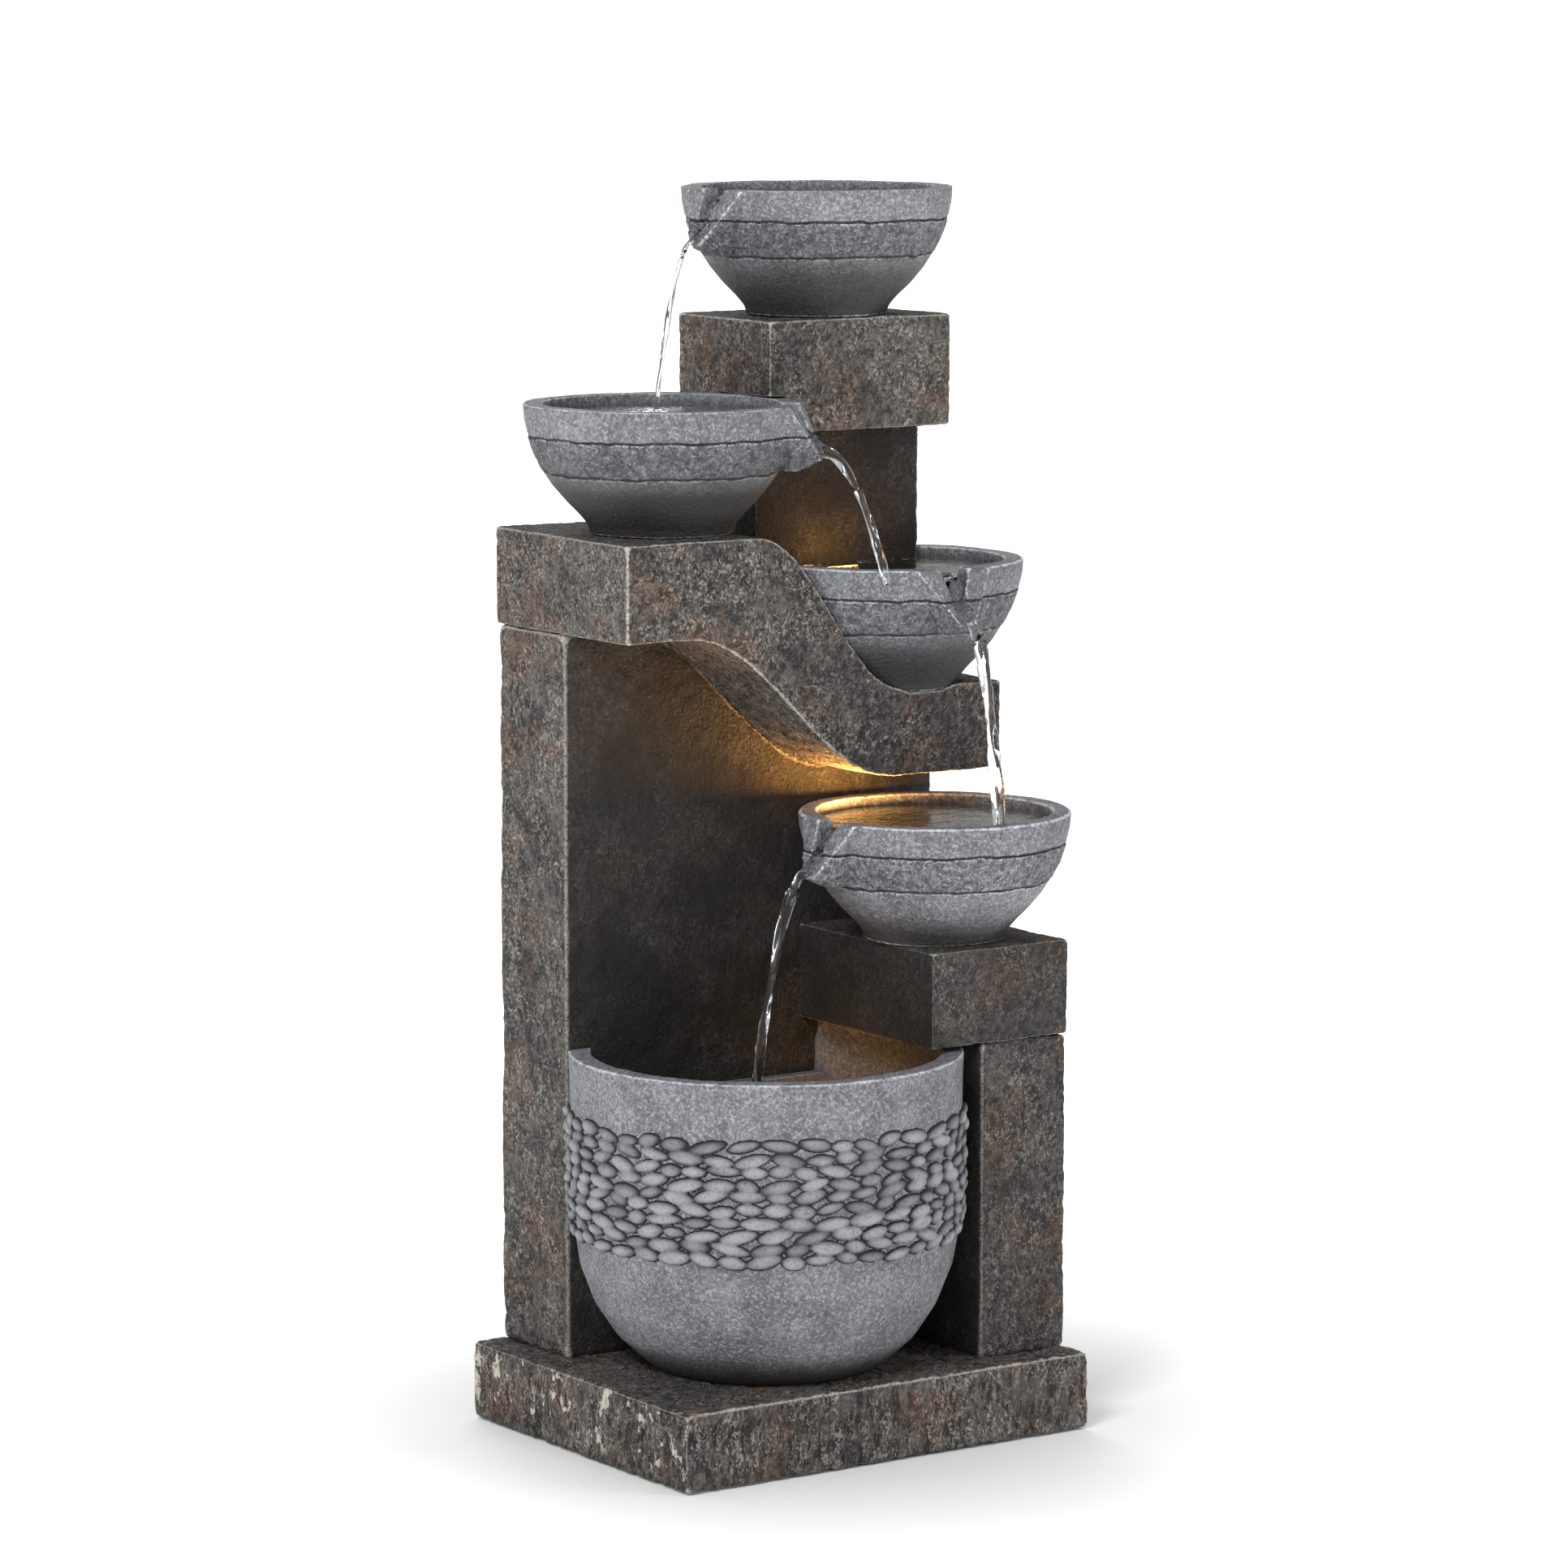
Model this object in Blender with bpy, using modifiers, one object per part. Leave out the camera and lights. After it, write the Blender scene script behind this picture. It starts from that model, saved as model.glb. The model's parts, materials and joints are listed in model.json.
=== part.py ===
"""Cascading bowl fountain: cast stone-resin tower, four spouted bowls, a half-sunk basin,
a submersible pump, three lights and a hinged rear door. Metres, +Z up, front towards -Y."""
import math

import bmesh
import bpy
from mathutils import Vector

# ---- driving dimensions -------------------------------------------------------------------
BASE_W = 0.390            # plinth, left to right
BASE_D = 0.316            # plinth, front to back
BASE_H = 0.064            # top face of the plinth
TOTAL_H = 1.000           # rim of the top bowl
WALL = 0.009              # casting wall
GAP = 0.0003              # clearance between pieces that touch
FIT = 0.0005              # clearance round a piece that is let into another
FOOT_LIFT = 0.002         # plinth edge above the floor
FAR = 0.500               # reach of a cutter that passes right through a casting
SHELF_Z = BASE_H + GAP    # what stands on the plinth starts here

# ---- plinth -------------------------------------------------------------------------------
CORNER = 0.030            # corner block that holds a foot
CORNER_LOW = 0.0065       # underside of a corner block
FOOT_R = 0.0090
FOOT_INSET = 0.0015       # foot to the inner face of the plinth wall
PASS_X, PASS_Y = -0.035, 0.110            # passage from the plinth up into the tower
PASS_R = 0.013
SLOT_X = (0.140, 0.165)                   # slot from the pillar into the tower, for a lead
SLOT_Z = (SHELF_Z + 0.0207, SHELF_Z + 0.0457)
GLAND_X, GLAND_Z = -0.120, 0.034
GLAND_R = 0.0060          # thread of the cable gland

# ---- tower --------------------------------------------------------------------------------
TOWER_LEFT = -0.168
TOWER_RIGHT = 0.192
TOWER_BACK = 0.157
NICHE_Y = 0.057           # back wall of the niche that holds the basin
PILLAR_LEFT = 0.108
PILLAR_FRONT = -0.129
LEDGE_LEFT = 0.058        # lower ledge
LEDGE_FRONT = -0.131
LEDGE_LOW = 0.322
LEDGE_TOP = 0.4000
S_FRONT = -0.038          # front face of the S-shaped ledge
S_HIGH = 0.7305
S_LOW = 0.6010
S_UNDER_HIGH = 0.6525
S_UNDER_LOW = 0.5300
S_TOP_FROM, S_TOP_TO = -0.045, 0.095
S_UNDER_FROM, S_UNDER_TO = -0.110, 0.085
COLUMN_LEFT = 0.026
COLUMN_RIGHT = 0.188
COLUMN_FRONT = 0.0715
TOP_LEFT = 0.007          # top ledge
TOP_RIGHT = 0.1855
TOP_FRONT = 0.024
TOP_LOW = 0.8055
S_ROOF = 0.013            # roof of the S ledge
EDGE = 0.0015             # worn edge of the castings

# ---- bowls --------------------------------------------------------------------------------
BOWL_R = 0.1106
BOWL_H = 0.1035
BOWL_RIM = 0.0160         # rim width
BOWL_WALL = 0.0120
BOWL_FLOOR = 0.0120
BOWL_FOOT_R = BOWL_R * 0.5244
SPOUT_REACH = BOWL_R + 0.0180     # tip of a spout, from the bowl's axis
SPOUT_HALF = 0.0345       # half width at the rim
SPOUT_KEEL = 0.0100       # half width of the underside at the wall
SPOUT_UNDER = 0.0530      # underside at the wall, below the rim
SPOUT_TIP_HALF = 0.0095
SPOUT_DROP = 0.0410       # tip below the rim
SPOUT_LIP = 0.0038        # thickness of the tip
CHANNEL_HALF = 0.0155
CHANNEL_IN = 0.0110       # floor of the channel at the inner side of the rim, below the rim
CHANNEL_DEPTH = 0.0240    # floor of the channel at the outer side of the rim
CHANNEL_TIP_HALF = 0.0050
TOWER_TOP = TOTAL_H - BOWL_H - GAP
BOWL_1_AT = (0.094, 0.084)
BOWLS = {                                 # axis x, y, rim height, direction of the spout
    "bowl_1": (*BOWL_1_AT, TOTAL_H, 186),
    "bowl_2": (TOP_LEFT + 0.0186 - BOWL_R, 0.042, S_HIGH + GAP + BOWL_H, -43),
    "bowl_3": (0.118, COLUMN_FRONT + 0.0561 - BOWL_R, 0.7014, -96),
    "bowl_4": (0.110, -0.061, LEDGE_TOP + GAP + BOWL_H, 183),
}
BOWL_SHAPE = [(1.000, 0.000), (0.992, 0.120), (0.965, 0.245), (0.925, 0.370), (0.865, 0.500),
              (0.785, 0.635), (0.690, 0.755), (0.600, 0.850), (0.545, 0.920)]

# ---- basin --------------------------------------------------------------------------------
BASIN_X, BASIN_Y = -0.035, -0.032
BASIN_R = 0.1590
BASIN_TOP = 0.3185
BASIN_WALL = 0.0180
BASIN_FLOOR = 0.0120
BACK_WALL_DROP = 0.042    # flat sides of the basin below its rim
BASIN_STEPS = 56
BASIN_SHAPE = [(1.000, 0.00), (0.992, 0.08), (0.990, 0.45), (0.978, 0.55), (0.943, 0.68),
               (0.870, 0.80), (0.765, 0.90), (0.650, 0.97), (0.590, 1.00)]

# ---- pump, hose, lights -------------------------------------------------------------------
PUMP_X, PUMP_Y = -0.035, -0.004
PUMP_W, PUMP_D, PUMP_H = 0.056, 0.050, 0.046
HOSE_R, HOSE_BORE = 0.0080, 0.0062
TAIL_R = 0.0054           # pipe ends that the hose slips over
LEAD_R = 0.0022
LEAD_HOLE_R = LEAD_R + 0.0010
PUMP_LIFT = 0.0060        # suction cups hold the pump this far above the basin floor
SCREEN_D = 0.0160         # depth of the strainer cover
INTAKE_R = 0.0175         # impeller chamber
DIAL_R = 0.0062           # bore for the flow dial
NOZZLE_R = 0.0065
NOZZLE_TAIL = 0.0480      # nozzle below the floor of the top bowl
RISER_X, RISER_Y = 0.094, 0.108           # the hose climbs here
HOSE_X, HOSE_Z = PUMP_X, 0.235            # the hose leaves the basin here
HOSE_HOLE_R = HOSE_R + 0.0040
LAMP_R, LAMP_H = 0.0110, 0.0150
LAMP_WALL = 0.0018
LAMP_3 = (0.092, 0.034)                   # lamps in bowl 3, bowl 4 and the basin
LAMP_4 = (0.100, -0.036)
LAMP_BASIN = (0.036, -0.004)
FLOOR_HOLES = [LAMP_BASIN, (PUMP_X, PUMP_Y + PUMP_D / 2 + 0.008)]
BOX_LEFT, BOX_RIGHT = -0.128, -0.076      # junction box
BOX_FRONT, BOX_BACK = 0.080, 0.126
BOX_H = 0.026
BOX_WALL = 0.003
BOX_Z = SHELF_Z + GAP + 0.012             # the leads enter it here
STEPS = 32

# ---- rear door ----------------------------------------------------------------------------
DOOR_W, DOOR_H, DOOR_T = 0.200, 0.200, 0.009
DOOR_X, DOOR_Z = 0.0, 0.235
HINGE_R = 0.0040
HINGE_PIN_R = 0.0018
HINGE_L = 0.120
KNUCKLES = 5
LEAF_W, LEAF_T = 0.030, 0.0016
REBATE = 0.008            # ledge round the doorway that the door closes on

for item in list(bpy.data.objects):
    bpy.data.objects.remove(item)
partsBox = bpy.data.collections.new("cascading_bowl_fountain")
toolsBox = bpy.data.collections.new("cutters")
bpy.context.scene.collection.children.link(partsBox)
bpy.context.scene.collection.children.link(toolsBox)


# ---- materials ----------------------------------------------------------------------------
def material(name, colour, roughness, metallic=0.0):
    made = bpy.data.materials.new(name)
    made.use_nodes = True
    shader = made.node_tree.nodes["Principled BSDF"]
    shader.inputs["Base Color"].default_value = (*colour, 1.0)
    shader.inputs["Roughness"].default_value = roughness
    shader.inputs["Metallic"].default_value = metallic
    return made


DARK = material("dark_stone_resin", (0.060, 0.050, 0.043), 0.85)
GREY = material("grey_stone_resin", (0.190, 0.195, 0.210), 0.80)
BLACK = material("black_plastic", (0.018, 0.018, 0.020), 0.45)
RUBBER = material("black_rubber", (0.022, 0.022, 0.022), 0.75)
CLEAR = material("clear_lens", (0.850, 0.620, 0.300), 0.15)
WHITE = material("white_board", (0.800, 0.800, 0.780), 0.50)
HOSE = material("grey_hose", (0.060, 0.060, 0.062), 0.50)
STEEL = material("stainless_steel", (0.560, 0.560, 0.550), 0.35, 1.0)


# ---- builders -----------------------------------------------------------------------------
def place(name, mesh, mat, at=(0, 0, 0), tool=False):
    """Link a mesh as a part, or as a hidden cutter."""
    made = bpy.data.objects.new(name, mesh)
    made.location = at
    made.data.materials.clear()
    made.data.materials.append(mat)
    (toolsBox if tool else partsBox).objects.link(made)
    if tool:
        made.hide_render = True
        made.display_type = "WIRE"
    return made


def box(name, low, high, mat=DARK, tool=False, bevel=0.0):
    """A box between two corners."""
    low, high = Vector(low), Vector(high)
    mesh = bpy.data.meshes.new(name)
    form = bmesh.new()
    bmesh.ops.create_cube(form, size=1.0)
    bmesh.ops.scale(form, vec=high - low, verts=form.verts)
    form.to_mesh(mesh)
    form.free()
    made = place(name, mesh, mat, (low + high) / 2, tool)
    if bevel:
        worn(made, bevel)
    return made


def worn(part, width, segments=2):
    """Round the sharp edges."""
    made = part.modifiers.new("edge", "BEVEL")
    made.width = width
    made.segments = segments
    made.limit_method = "ANGLE"
    made.angle_limit = math.radians(50)


def turned(name, profile, at, mat=GREY, tool=False, steps=STEPS, axis="Z"):
    """Spin (radius, height) points, listed down the outer side and back up the inner one."""
    mesh = bpy.data.meshes.new(name)
    mesh.from_pydata([(r, 0.0, z) for r, z in profile],
                     [(i, i + 1) for i in range(len(profile) - 1)], [])
    made = place(name, mesh, mat, at, tool)
    spin = made.modifiers.new("spin", "SCREW")
    spin.steps = steps
    spin.render_steps = steps
    spin.use_merge_vertices = True
    spin.merge_threshold = 0.00001
    if axis == "Y":
        made.rotation_euler = (math.radians(90), 0, 0)      # +Z of the profile points to -Y
    if axis == "X":
        made.rotation_euler = (0, math.radians(90), 0)      # +Z of the profile points to +X
    return made


def rod(name, radius, length, at, mat=BLACK, tool=False, steps=24, axis="Z"):
    """A round bar centred on a point."""
    half = length / 2
    return turned(name, [(0, half), (radius, half), (radius, -half), (0, -half)],
                  at, mat, tool, steps, axis)


def ring(name, outer, inner, length, at, mat=RUBBER, steps=24, axis="Z"):
    """A round sleeve centred on a point."""
    half = length / 2
    profile = [(inner, half), (outer, half), (outer, -half), (inner, -half), (inner, half)]
    return turned(name, profile, at, mat, False, steps, axis)


def combine(part, other, how):
    made = part.modifiers.new(how.lower(), "BOOLEAN")
    made.operation = how
    made.object = other
    made.solver = "EXACT"


def cut(part, *tools):
    for other in tools:
        combine(part, other, "DIFFERENCE")


def cutBox(part, low, high):
    cut(part, box(part.name + "_cut", low, high, tool=True))


def cutRod(part, radius, length, at, axis="Z", steps=24):
    cut(part, rod(part.name + "_bore", radius, length, at, tool=True, axis=axis, steps=steps))


def addBox(part, low, high):
    combine(part, box(part.name + "_boss", low, high, tool=True), "UNION")


def addRod(part, radius, length, at, axis="Z", steps=24):
    combine(part, rod(part.name + "_boss", radius, length, at, tool=True, axis=axis, steps=steps),
            "UNION")


def outline(name, points, yLow, yHigh, mat=DARK, tool=False):
    """A flat (x, z) outline, drawn as a filled curve and made a solid between two Y planes."""
    curve = bpy.data.curves.new(name, "CURVE")
    curve.dimensions = "2D"
    curve.fill_mode = "BOTH"
    curve.extrude = (yHigh - yLow) / 2
    line = curve.splines.new("POLY")
    line.points.add(len(points) - 1)
    for point, (x, z) in zip(line.points, points):
        point.co = (x, z, 0, 1)
    line.use_cyclic_u = True
    drawn = bpy.data.objects.new(name, curve)
    partsBox.objects.link(drawn)
    drawn.rotation_euler = (math.radians(90), 0, 0)
    drawn.location = (0, (yLow + yHigh) / 2, 0)
    return solidFrom(drawn, name, mat, tool)


def solidFrom(drawn, name, mat, tool=False):
    """Turn a curve object into a mesh object in the same place, with its caps welded."""
    bpy.context.view_layer.update()
    graph = bpy.context.evaluated_depsgraph_get()
    mesh = bpy.data.meshes.new_from_object(drawn.evaluated_get(graph))
    where = drawn.matrix_world.copy()
    bpy.data.objects.remove(drawn)
    form = bmesh.new()
    form.from_mesh(mesh)
    bmesh.ops.remove_doubles(form, verts=form.verts, dist=0.00002)
    bmesh.ops.recalc_face_normals(form, faces=form.faces)
    form.to_mesh(mesh)
    form.free()
    mesh.name = name
    made = place(name, mesh, mat, (0, 0, 0), tool)
    made.matrix_world = where
    return made


def smoothRoute(stops, spacing):
    """Points along a smooth curve through the stops."""
    line = [Vector(stop) for stop in stops]
    line = [line[0] * 2 - line[1]] + line + [line[-1] * 2 - line[-2]]
    route = []
    for a, b, c, d in zip(line, line[1:], line[2:], line[3:]):
        count = max(2, round((c - b).length / spacing))
        for i in range(count):
            t = i / count
            route.append(0.5 * (2 * b + (c - a) * t + (2 * a - 5 * b + 4 * c - d) * t * t
                                + (3 * b - a - 3 * c + d) * t ** 3))
    return route + [line[-2]]


def lead(name, stops, mat=BLACK, radius=LEAD_R, spacing=0.022, bore=0.0):
    """A round lead or, with a bore, a hose."""
    curve = bpy.data.curves.new(name, "CURVE")
    curve.dimensions = "3D"
    curve.bevel_depth = radius
    curve.bevel_resolution = 2
    curve.use_fill_caps = not bore
    route = smoothRoute(stops, spacing)
    line = curve.splines.new("POLY")
    line.points.add(len(route) - 1)
    for point, where in zip(line.points, route):
        point.co = (*where, 1)
    drawn = bpy.data.objects.new(name, curve)
    partsBox.objects.link(drawn)
    made = solidFrom(drawn, name, mat)
    made.data.shade_smooth()
    if bore:
        shell = made.modifiers.new("wall", "SOLIDIFY")
        shell.thickness = radius - bore
        shell.offset = -1
    return made


def loft(name, sections, at, turn, mat=GREY, tool=False):
    """Join four-cornered sections into one solid, along +X before it is turned about Z."""
    mesh = bpy.data.meshes.new(name)
    form = bmesh.new()
    rings = [[form.verts.new(corner) for corner in section] for section in sections]
    for first, second in zip(rings, rings[1:]):
        for i in range(4):
            j = (i + 1) % 4
            form.faces.new((first[i], first[j], second[j], second[i]))
    form.faces.new(rings[0])
    form.faces.new(rings[-1])
    bmesh.ops.recalc_face_normals(form, faces=form.faces)
    form.to_mesh(mesh)
    form.free()
    made = place(name, mesh, mat, at, tool)
    made.rotation_euler = (0, 0, turn)
    return made


def sCurve(x, start, end, high, low):
    """Height of the S at x: level, a cosine fall, then level."""
    share = min(1.0, max(0.0, (x - start) / (end - start)))
    return high + (low - high) * (1 - math.cos(math.pi * share)) / 2


def sLine(start, end, high, low, offset=0.0, count=16):
    """The S as (x, z) points across the tower, left to right."""
    xs = [TOWER_LEFT - 0.002] + [start + (end - start) * i / count for i in range(count + 1)]
    xs.append(TOWER_RIGHT + 0.001)
    return [(x, sCurve(x, start, end, high, low) + offset) for x in xs]


def sTop(offset=0.0):
    return sLine(S_TOP_FROM, S_TOP_TO, S_HIGH, S_LOW, offset)


def sUnder(offset=0.0):
    return sLine(S_UNDER_FROM, S_UNDER_TO, S_UNDER_HIGH, S_UNDER_LOW, offset)


# ---- plinth and feet ----------------------------------------------------------------------
def makePlinth():
    halfW, halfD = BASE_W / 2, BASE_D / 2
    plinth = box("plinth", (-halfW, -halfD, FOOT_LIFT), (halfW, halfD, BASE_H), bevel=EDGE)
    cutBox(plinth, (WALL - halfW, WALL - halfD, -0.01), (halfW - WALL, halfD - WALL, BASE_H - WALL))
    for i, (sx, sy) in enumerate([(-1, -1), (1, -1), (1, 1), (-1, 1)]):
        inner = (sx * (halfW - CORNER), sy * (halfD - CORNER))
        outer = (sx * (halfW - WALL / 2), sy * (halfD - WALL / 2))
        low = (min(inner[0], outer[0]), min(inner[1], outer[1]), CORNER_LOW)
        high = (max(inner[0], outer[0]), max(inner[1], outer[1]), BASE_H - WALL / 2)
        addBox(plinth, low, high)
        inset, height = WALL + FOOT_INSET + FOOT_R, CORNER_LOW - GAP
        rod(f"foot_{i + 1}", FOOT_R, height,
            (sx * (halfW - inset), sy * (halfD - inset), height / 2), RUBBER)
    cutRod(plinth, PASS_R, 4 * WALL, (PASS_X, PASS_Y, BASE_H))
    for x, y in FLOOR_HOLES:
        cutRod(plinth, LEAD_HOLE_R, 4 * WALL, (x, y, BASE_H), steps=16)
    cutRod(plinth, GLAND_R + FIT, 4 * WALL, (GLAND_X, halfD, GLAND_Z), axis="Y")


# ---- tower --------------------------------------------------------------------------------
def makeTower():
    base = SHELF_Z
    top = between(sUnder(-GAP), TOWER_LEFT, TOWER_RIGHT)
    shell = [(TOWER_LEFT, base), (TOWER_RIGHT, base)] + list(reversed(top))
    tower = outline("tower_back", shell, NICHE_Y, TOWER_BACK)
    left, right = TOWER_LEFT + WALL, TOWER_RIGHT - WALL
    hollow = [(left, base - 0.01), (right, base - 0.01)]
    hollow += list(reversed(between(sUnder(0.02), left, right)))
    cut(tower, outline("tower_hollow", hollow, NICHE_Y + WALL, TOWER_BACK - WALL, tool=True))
    halfW, halfH = DOOR_W / 2 - REBATE, DOOR_H / 2 - REBATE
    cutBox(tower, (DOOR_X - halfW, TOWER_BACK - 2 * WALL, DOOR_Z - halfH),
           (DOOR_X + halfW, TOWER_BACK + WALL, DOOR_Z + halfH))
    halfW, halfH = DOOR_W / 2 + 2 * FIT, DOOR_H / 2 + 2 * FIT
    cutBox(tower, (DOOR_X - halfW, TOWER_BACK - DOOR_T / 2, DOOR_Z - halfH),
           (DOOR_X + halfW, TOWER_BACK + WALL, DOOR_Z + halfH))
    cutRod(tower, HOSE_HOLE_R, 4 * WALL, (HOSE_X, NICHE_Y, HOSE_Z), axis="Y")
    cutBox(tower, (SLOT_X[0], NICHE_Y - WALL, SLOT_Z[0]), (SLOT_X[1], NICHE_Y + 2 * WALL, SLOT_Z[1]))


def makePillar():
    pillar = box("side_pillar", (PILLAR_LEFT, PILLAR_FRONT, SHELF_Z),
                 (TOWER_RIGHT, NICHE_Y - GAP, LEDGE_LOW - GAP), bevel=EDGE)
    cutBox(pillar, (PILLAR_LEFT + WALL, PILLAR_FRONT + WALL, 0.0),
           (TOWER_RIGHT - WALL, NICHE_Y - WALL, FAR))
    cutBox(pillar, (SLOT_X[0], NICHE_Y - 2 * WALL, SLOT_Z[0]), (SLOT_X[1], NICHE_Y + WALL, SLOT_Z[1]))


def makeLowerLedge():
    ledge = box("lower_ledge", (LEDGE_LEFT, LEDGE_FRONT, LEDGE_LOW),
                (TOWER_RIGHT + 0.001, NICHE_Y - GAP, LEDGE_TOP), bevel=EDGE)
    cutBox(ledge, (LEDGE_LEFT + WALL, LEDGE_FRONT + WALL, LEDGE_LOW + WALL),
           (TOWER_RIGHT - WALL, NICHE_Y - WALL, LEDGE_TOP - WALL))
    cutBox(ledge, (PILLAR_LEFT + WALL, PILLAR_FRONT + WALL, LEDGE_LOW - WALL),
           (TOWER_RIGHT - WALL, NICHE_Y - WALL, LEDGE_LOW + 2 * WALL))
    cutRod(ledge, LEAD_HOLE_R, 4 * WALL, (*LAMP_4, LEDGE_TOP), steps=16)


def between(points, low, high):
    """Points of an S line strictly between two x values, with the ends added."""
    ends = [(x, interpolate(points, x)) for x in (low, high)]
    return ends[:1] + [p for p in points if low < p[0] < high] + ends[1:]


def interpolate(points, x):
    for (x0, z0), (x1, z1) in zip(points, points[1:]):
        if x0 <= x <= x1:
            return z0 + (z1 - z0) * (x - x0) / (x1 - x0)
    return points[-1][1]


def sHollow(name, lowOffset, yLow, yHigh):
    """The room inside the S ledge between two Y planes."""
    left, right = TOWER_LEFT + WALL, TOWER_RIGHT - WALL
    floor = between(sUnder(lowOffset), left, right)
    roof = between(sTop(-S_ROOF), left, right)
    room = outline(name, floor + list(reversed(roof)), yLow, yHigh, tool=True)
    cut(room, bowlForm(name + "_keep", BOWLS["bowl_3"], WALL, FAR))
    return room


def makeSLedge():
    ledge = outline("s_ledge", sUnder() + list(reversed(sTop())), S_FRONT, TOWER_BACK)
    worn(ledge, EDGE)
    cut(ledge, sHollow("s_front_room", WALL, S_FRONT + WALL, NICHE_Y + 2 * WALL))
    cut(ledge, sHollow("s_back_room", -0.03, NICHE_Y + WALL, TOWER_BACK - WALL))
    seat = bowlForm("bowl_3_seat", BOWLS["bowl_3"], FIT, FAR)
    cutBox(seat, (COLUMN_LEFT, COLUMN_FRONT, S_UNDER_LOW), (COLUMN_RIGHT, FAR, TOTAL_H + FAR))
    cut(ledge, seat)
    room = HOSE_R + 0.006
    cutBox(ledge, (RISER_X - room, RISER_Y - room, S_UNDER_LOW - WALL),
           (RISER_X + room, RISER_Y + room, S_HIGH + WALL))
    cutRod(ledge, LEAD_HOLE_R, 6 * WALL, (*LAMP_3, BOWLS["bowl_3"][2] - BOWL_H), steps=16)


def makeColumn():
    form = between(sTop(GAP), COLUMN_LEFT, COLUMN_RIGHT)
    form += [(COLUMN_RIGHT, TOP_LOW - GAP), (COLUMN_LEFT, TOP_LOW - GAP)]
    column = outline("upper_column", form, COLUMN_FRONT, TOWER_BACK)
    cutBox(column, (COLUMN_LEFT + WALL, COLUMN_FRONT + WALL, S_UNDER_LOW),
           (COLUMN_RIGHT - WALL, TOWER_BACK - WALL, TOTAL_H))


def makeTopLedge():
    ledge = box("top_ledge", (TOP_LEFT, TOP_FRONT, TOP_LOW),
                (TOP_RIGHT, TOWER_BACK, TOWER_TOP), bevel=EDGE)
    room = box("top_room", (TOP_LEFT + WALL, TOP_FRONT + WALL, TOP_LOW + WALL),
               (TOP_RIGHT - WALL, TOWER_BACK - WALL, TOWER_TOP - WALL), tool=True)
    cut(room, bowlForm("top_room_keep", BOWLS["bowl_2"], WALL))
    cut(ledge, room, bowlForm("bowl_2_seat", BOWLS["bowl_2"], FIT))
    cutBox(ledge, (COLUMN_LEFT + WALL, COLUMN_FRONT + WALL, TOP_LOW - WALL),
           (TOP_RIGHT - WALL, TOWER_BACK - WALL, TOP_LOW + 2 * WALL))
    cutRod(ledge, NOZZLE_R + FIT, 4 * WALL, (*BOWL_1_AT, TOWER_TOP))


# ---- bowls --------------------------------------------------------------------------------
def bowlProfile(grow=0.0):
    """Outer side of a bowl as (radius, height above its foot), rim to foot."""
    side = [(BOWL_R * r + grow, BOWL_H * (1 - d)) for r, d in BOWL_SHAPE]
    return side + [(BOWL_FOOT_R + grow, BOWL_H * 0.045), (BOWL_FOOT_R + grow, -grow)]


def bowlForm(name, where, grow, rise=0.0, tool=True):
    """The whole outer form of a bowl, with no hollow. A grown one is a cutter; rise opens it."""
    x, y, rim, _ = where
    side = bowlProfile(grow)
    high = BOWL_H + grow + rise
    top = [(0, high), (side[0][0], high)] if high > BOWL_H else [(0, high)]
    return turned(name, top + side + [(0, -grow)], (x, y, rim - BOWL_H), GREY, tool)


def section(x, half, high, lowHalf, low):
    """A four-cornered section of a spout at x: wide above, narrow below."""
    return [(x, half, high), (x, -half, high), (x, -lowHalf, low), (x, lowHalf, low)]


def makeBowl(name):
    x, y, rim, heading = BOWLS[name]
    turn = math.radians(heading)
    bowl = bowlForm(name, BOWLS[name], 0.0, tool=False)
    bowl.data.shade_smooth()
    inside = BOWL_R - BOWL_RIM
    lip = loft(name + "_lip", [
        section(inside + 0.004, SPOUT_HALF, -GAP, SPOUT_KEEL, -SPOUT_UNDER),
        section(BOWL_R - 0.002, SPOUT_HALF, -GAP, SPOUT_KEEL, -SPOUT_UNDER),
        section(SPOUT_REACH, SPOUT_TIP_HALF, -SPOUT_DROP, CHANNEL_TIP_HALF, -SPOUT_DROP - SPOUT_LIP)],
        (x, y, rim), turn, tool=True)
    combine(bowl, lip, "UNION")
    inner = [(inside, BOWL_H + 0.01)]
    inner += [(BOWL_R * r - max(BOWL_WALL, BOWL_RIM * (1 - d)), BOWL_H * (1 - d))
              for r, d in BOWL_SHAPE if BOWL_H * (1 - d) > BOWL_FLOOR + 0.004]
    inner += [(0.044, BOWL_FLOOR), (0, BOWL_FLOOR)]
    cut(bowl, turned(name + "_hollow", [(0, BOWL_H + 0.01)] + inner, (x, y, rim - BOWL_H), tool=True))
    cut(bowl, loft(name + "_channel", [
        section(inside - 0.010, CHANNEL_HALF, 0.010, CHANNEL_HALF * 0.7, -CHANNEL_IN),
        section(inside, CHANNEL_HALF, 0.010, CHANNEL_HALF * 0.6, -CHANNEL_IN),
        section(BOWL_R, CHANNEL_HALF, 0.010, CHANNEL_HALF * 0.4, -CHANNEL_DEPTH),
        section(SPOUT_REACH + 0.004, CHANNEL_TIP_HALF, 0.010, CHANNEL_TIP_HALF * 0.5,
                -SPOUT_DROP - GAP)],
        (x, y, rim), turn, tool=True))
    return bowl


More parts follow.
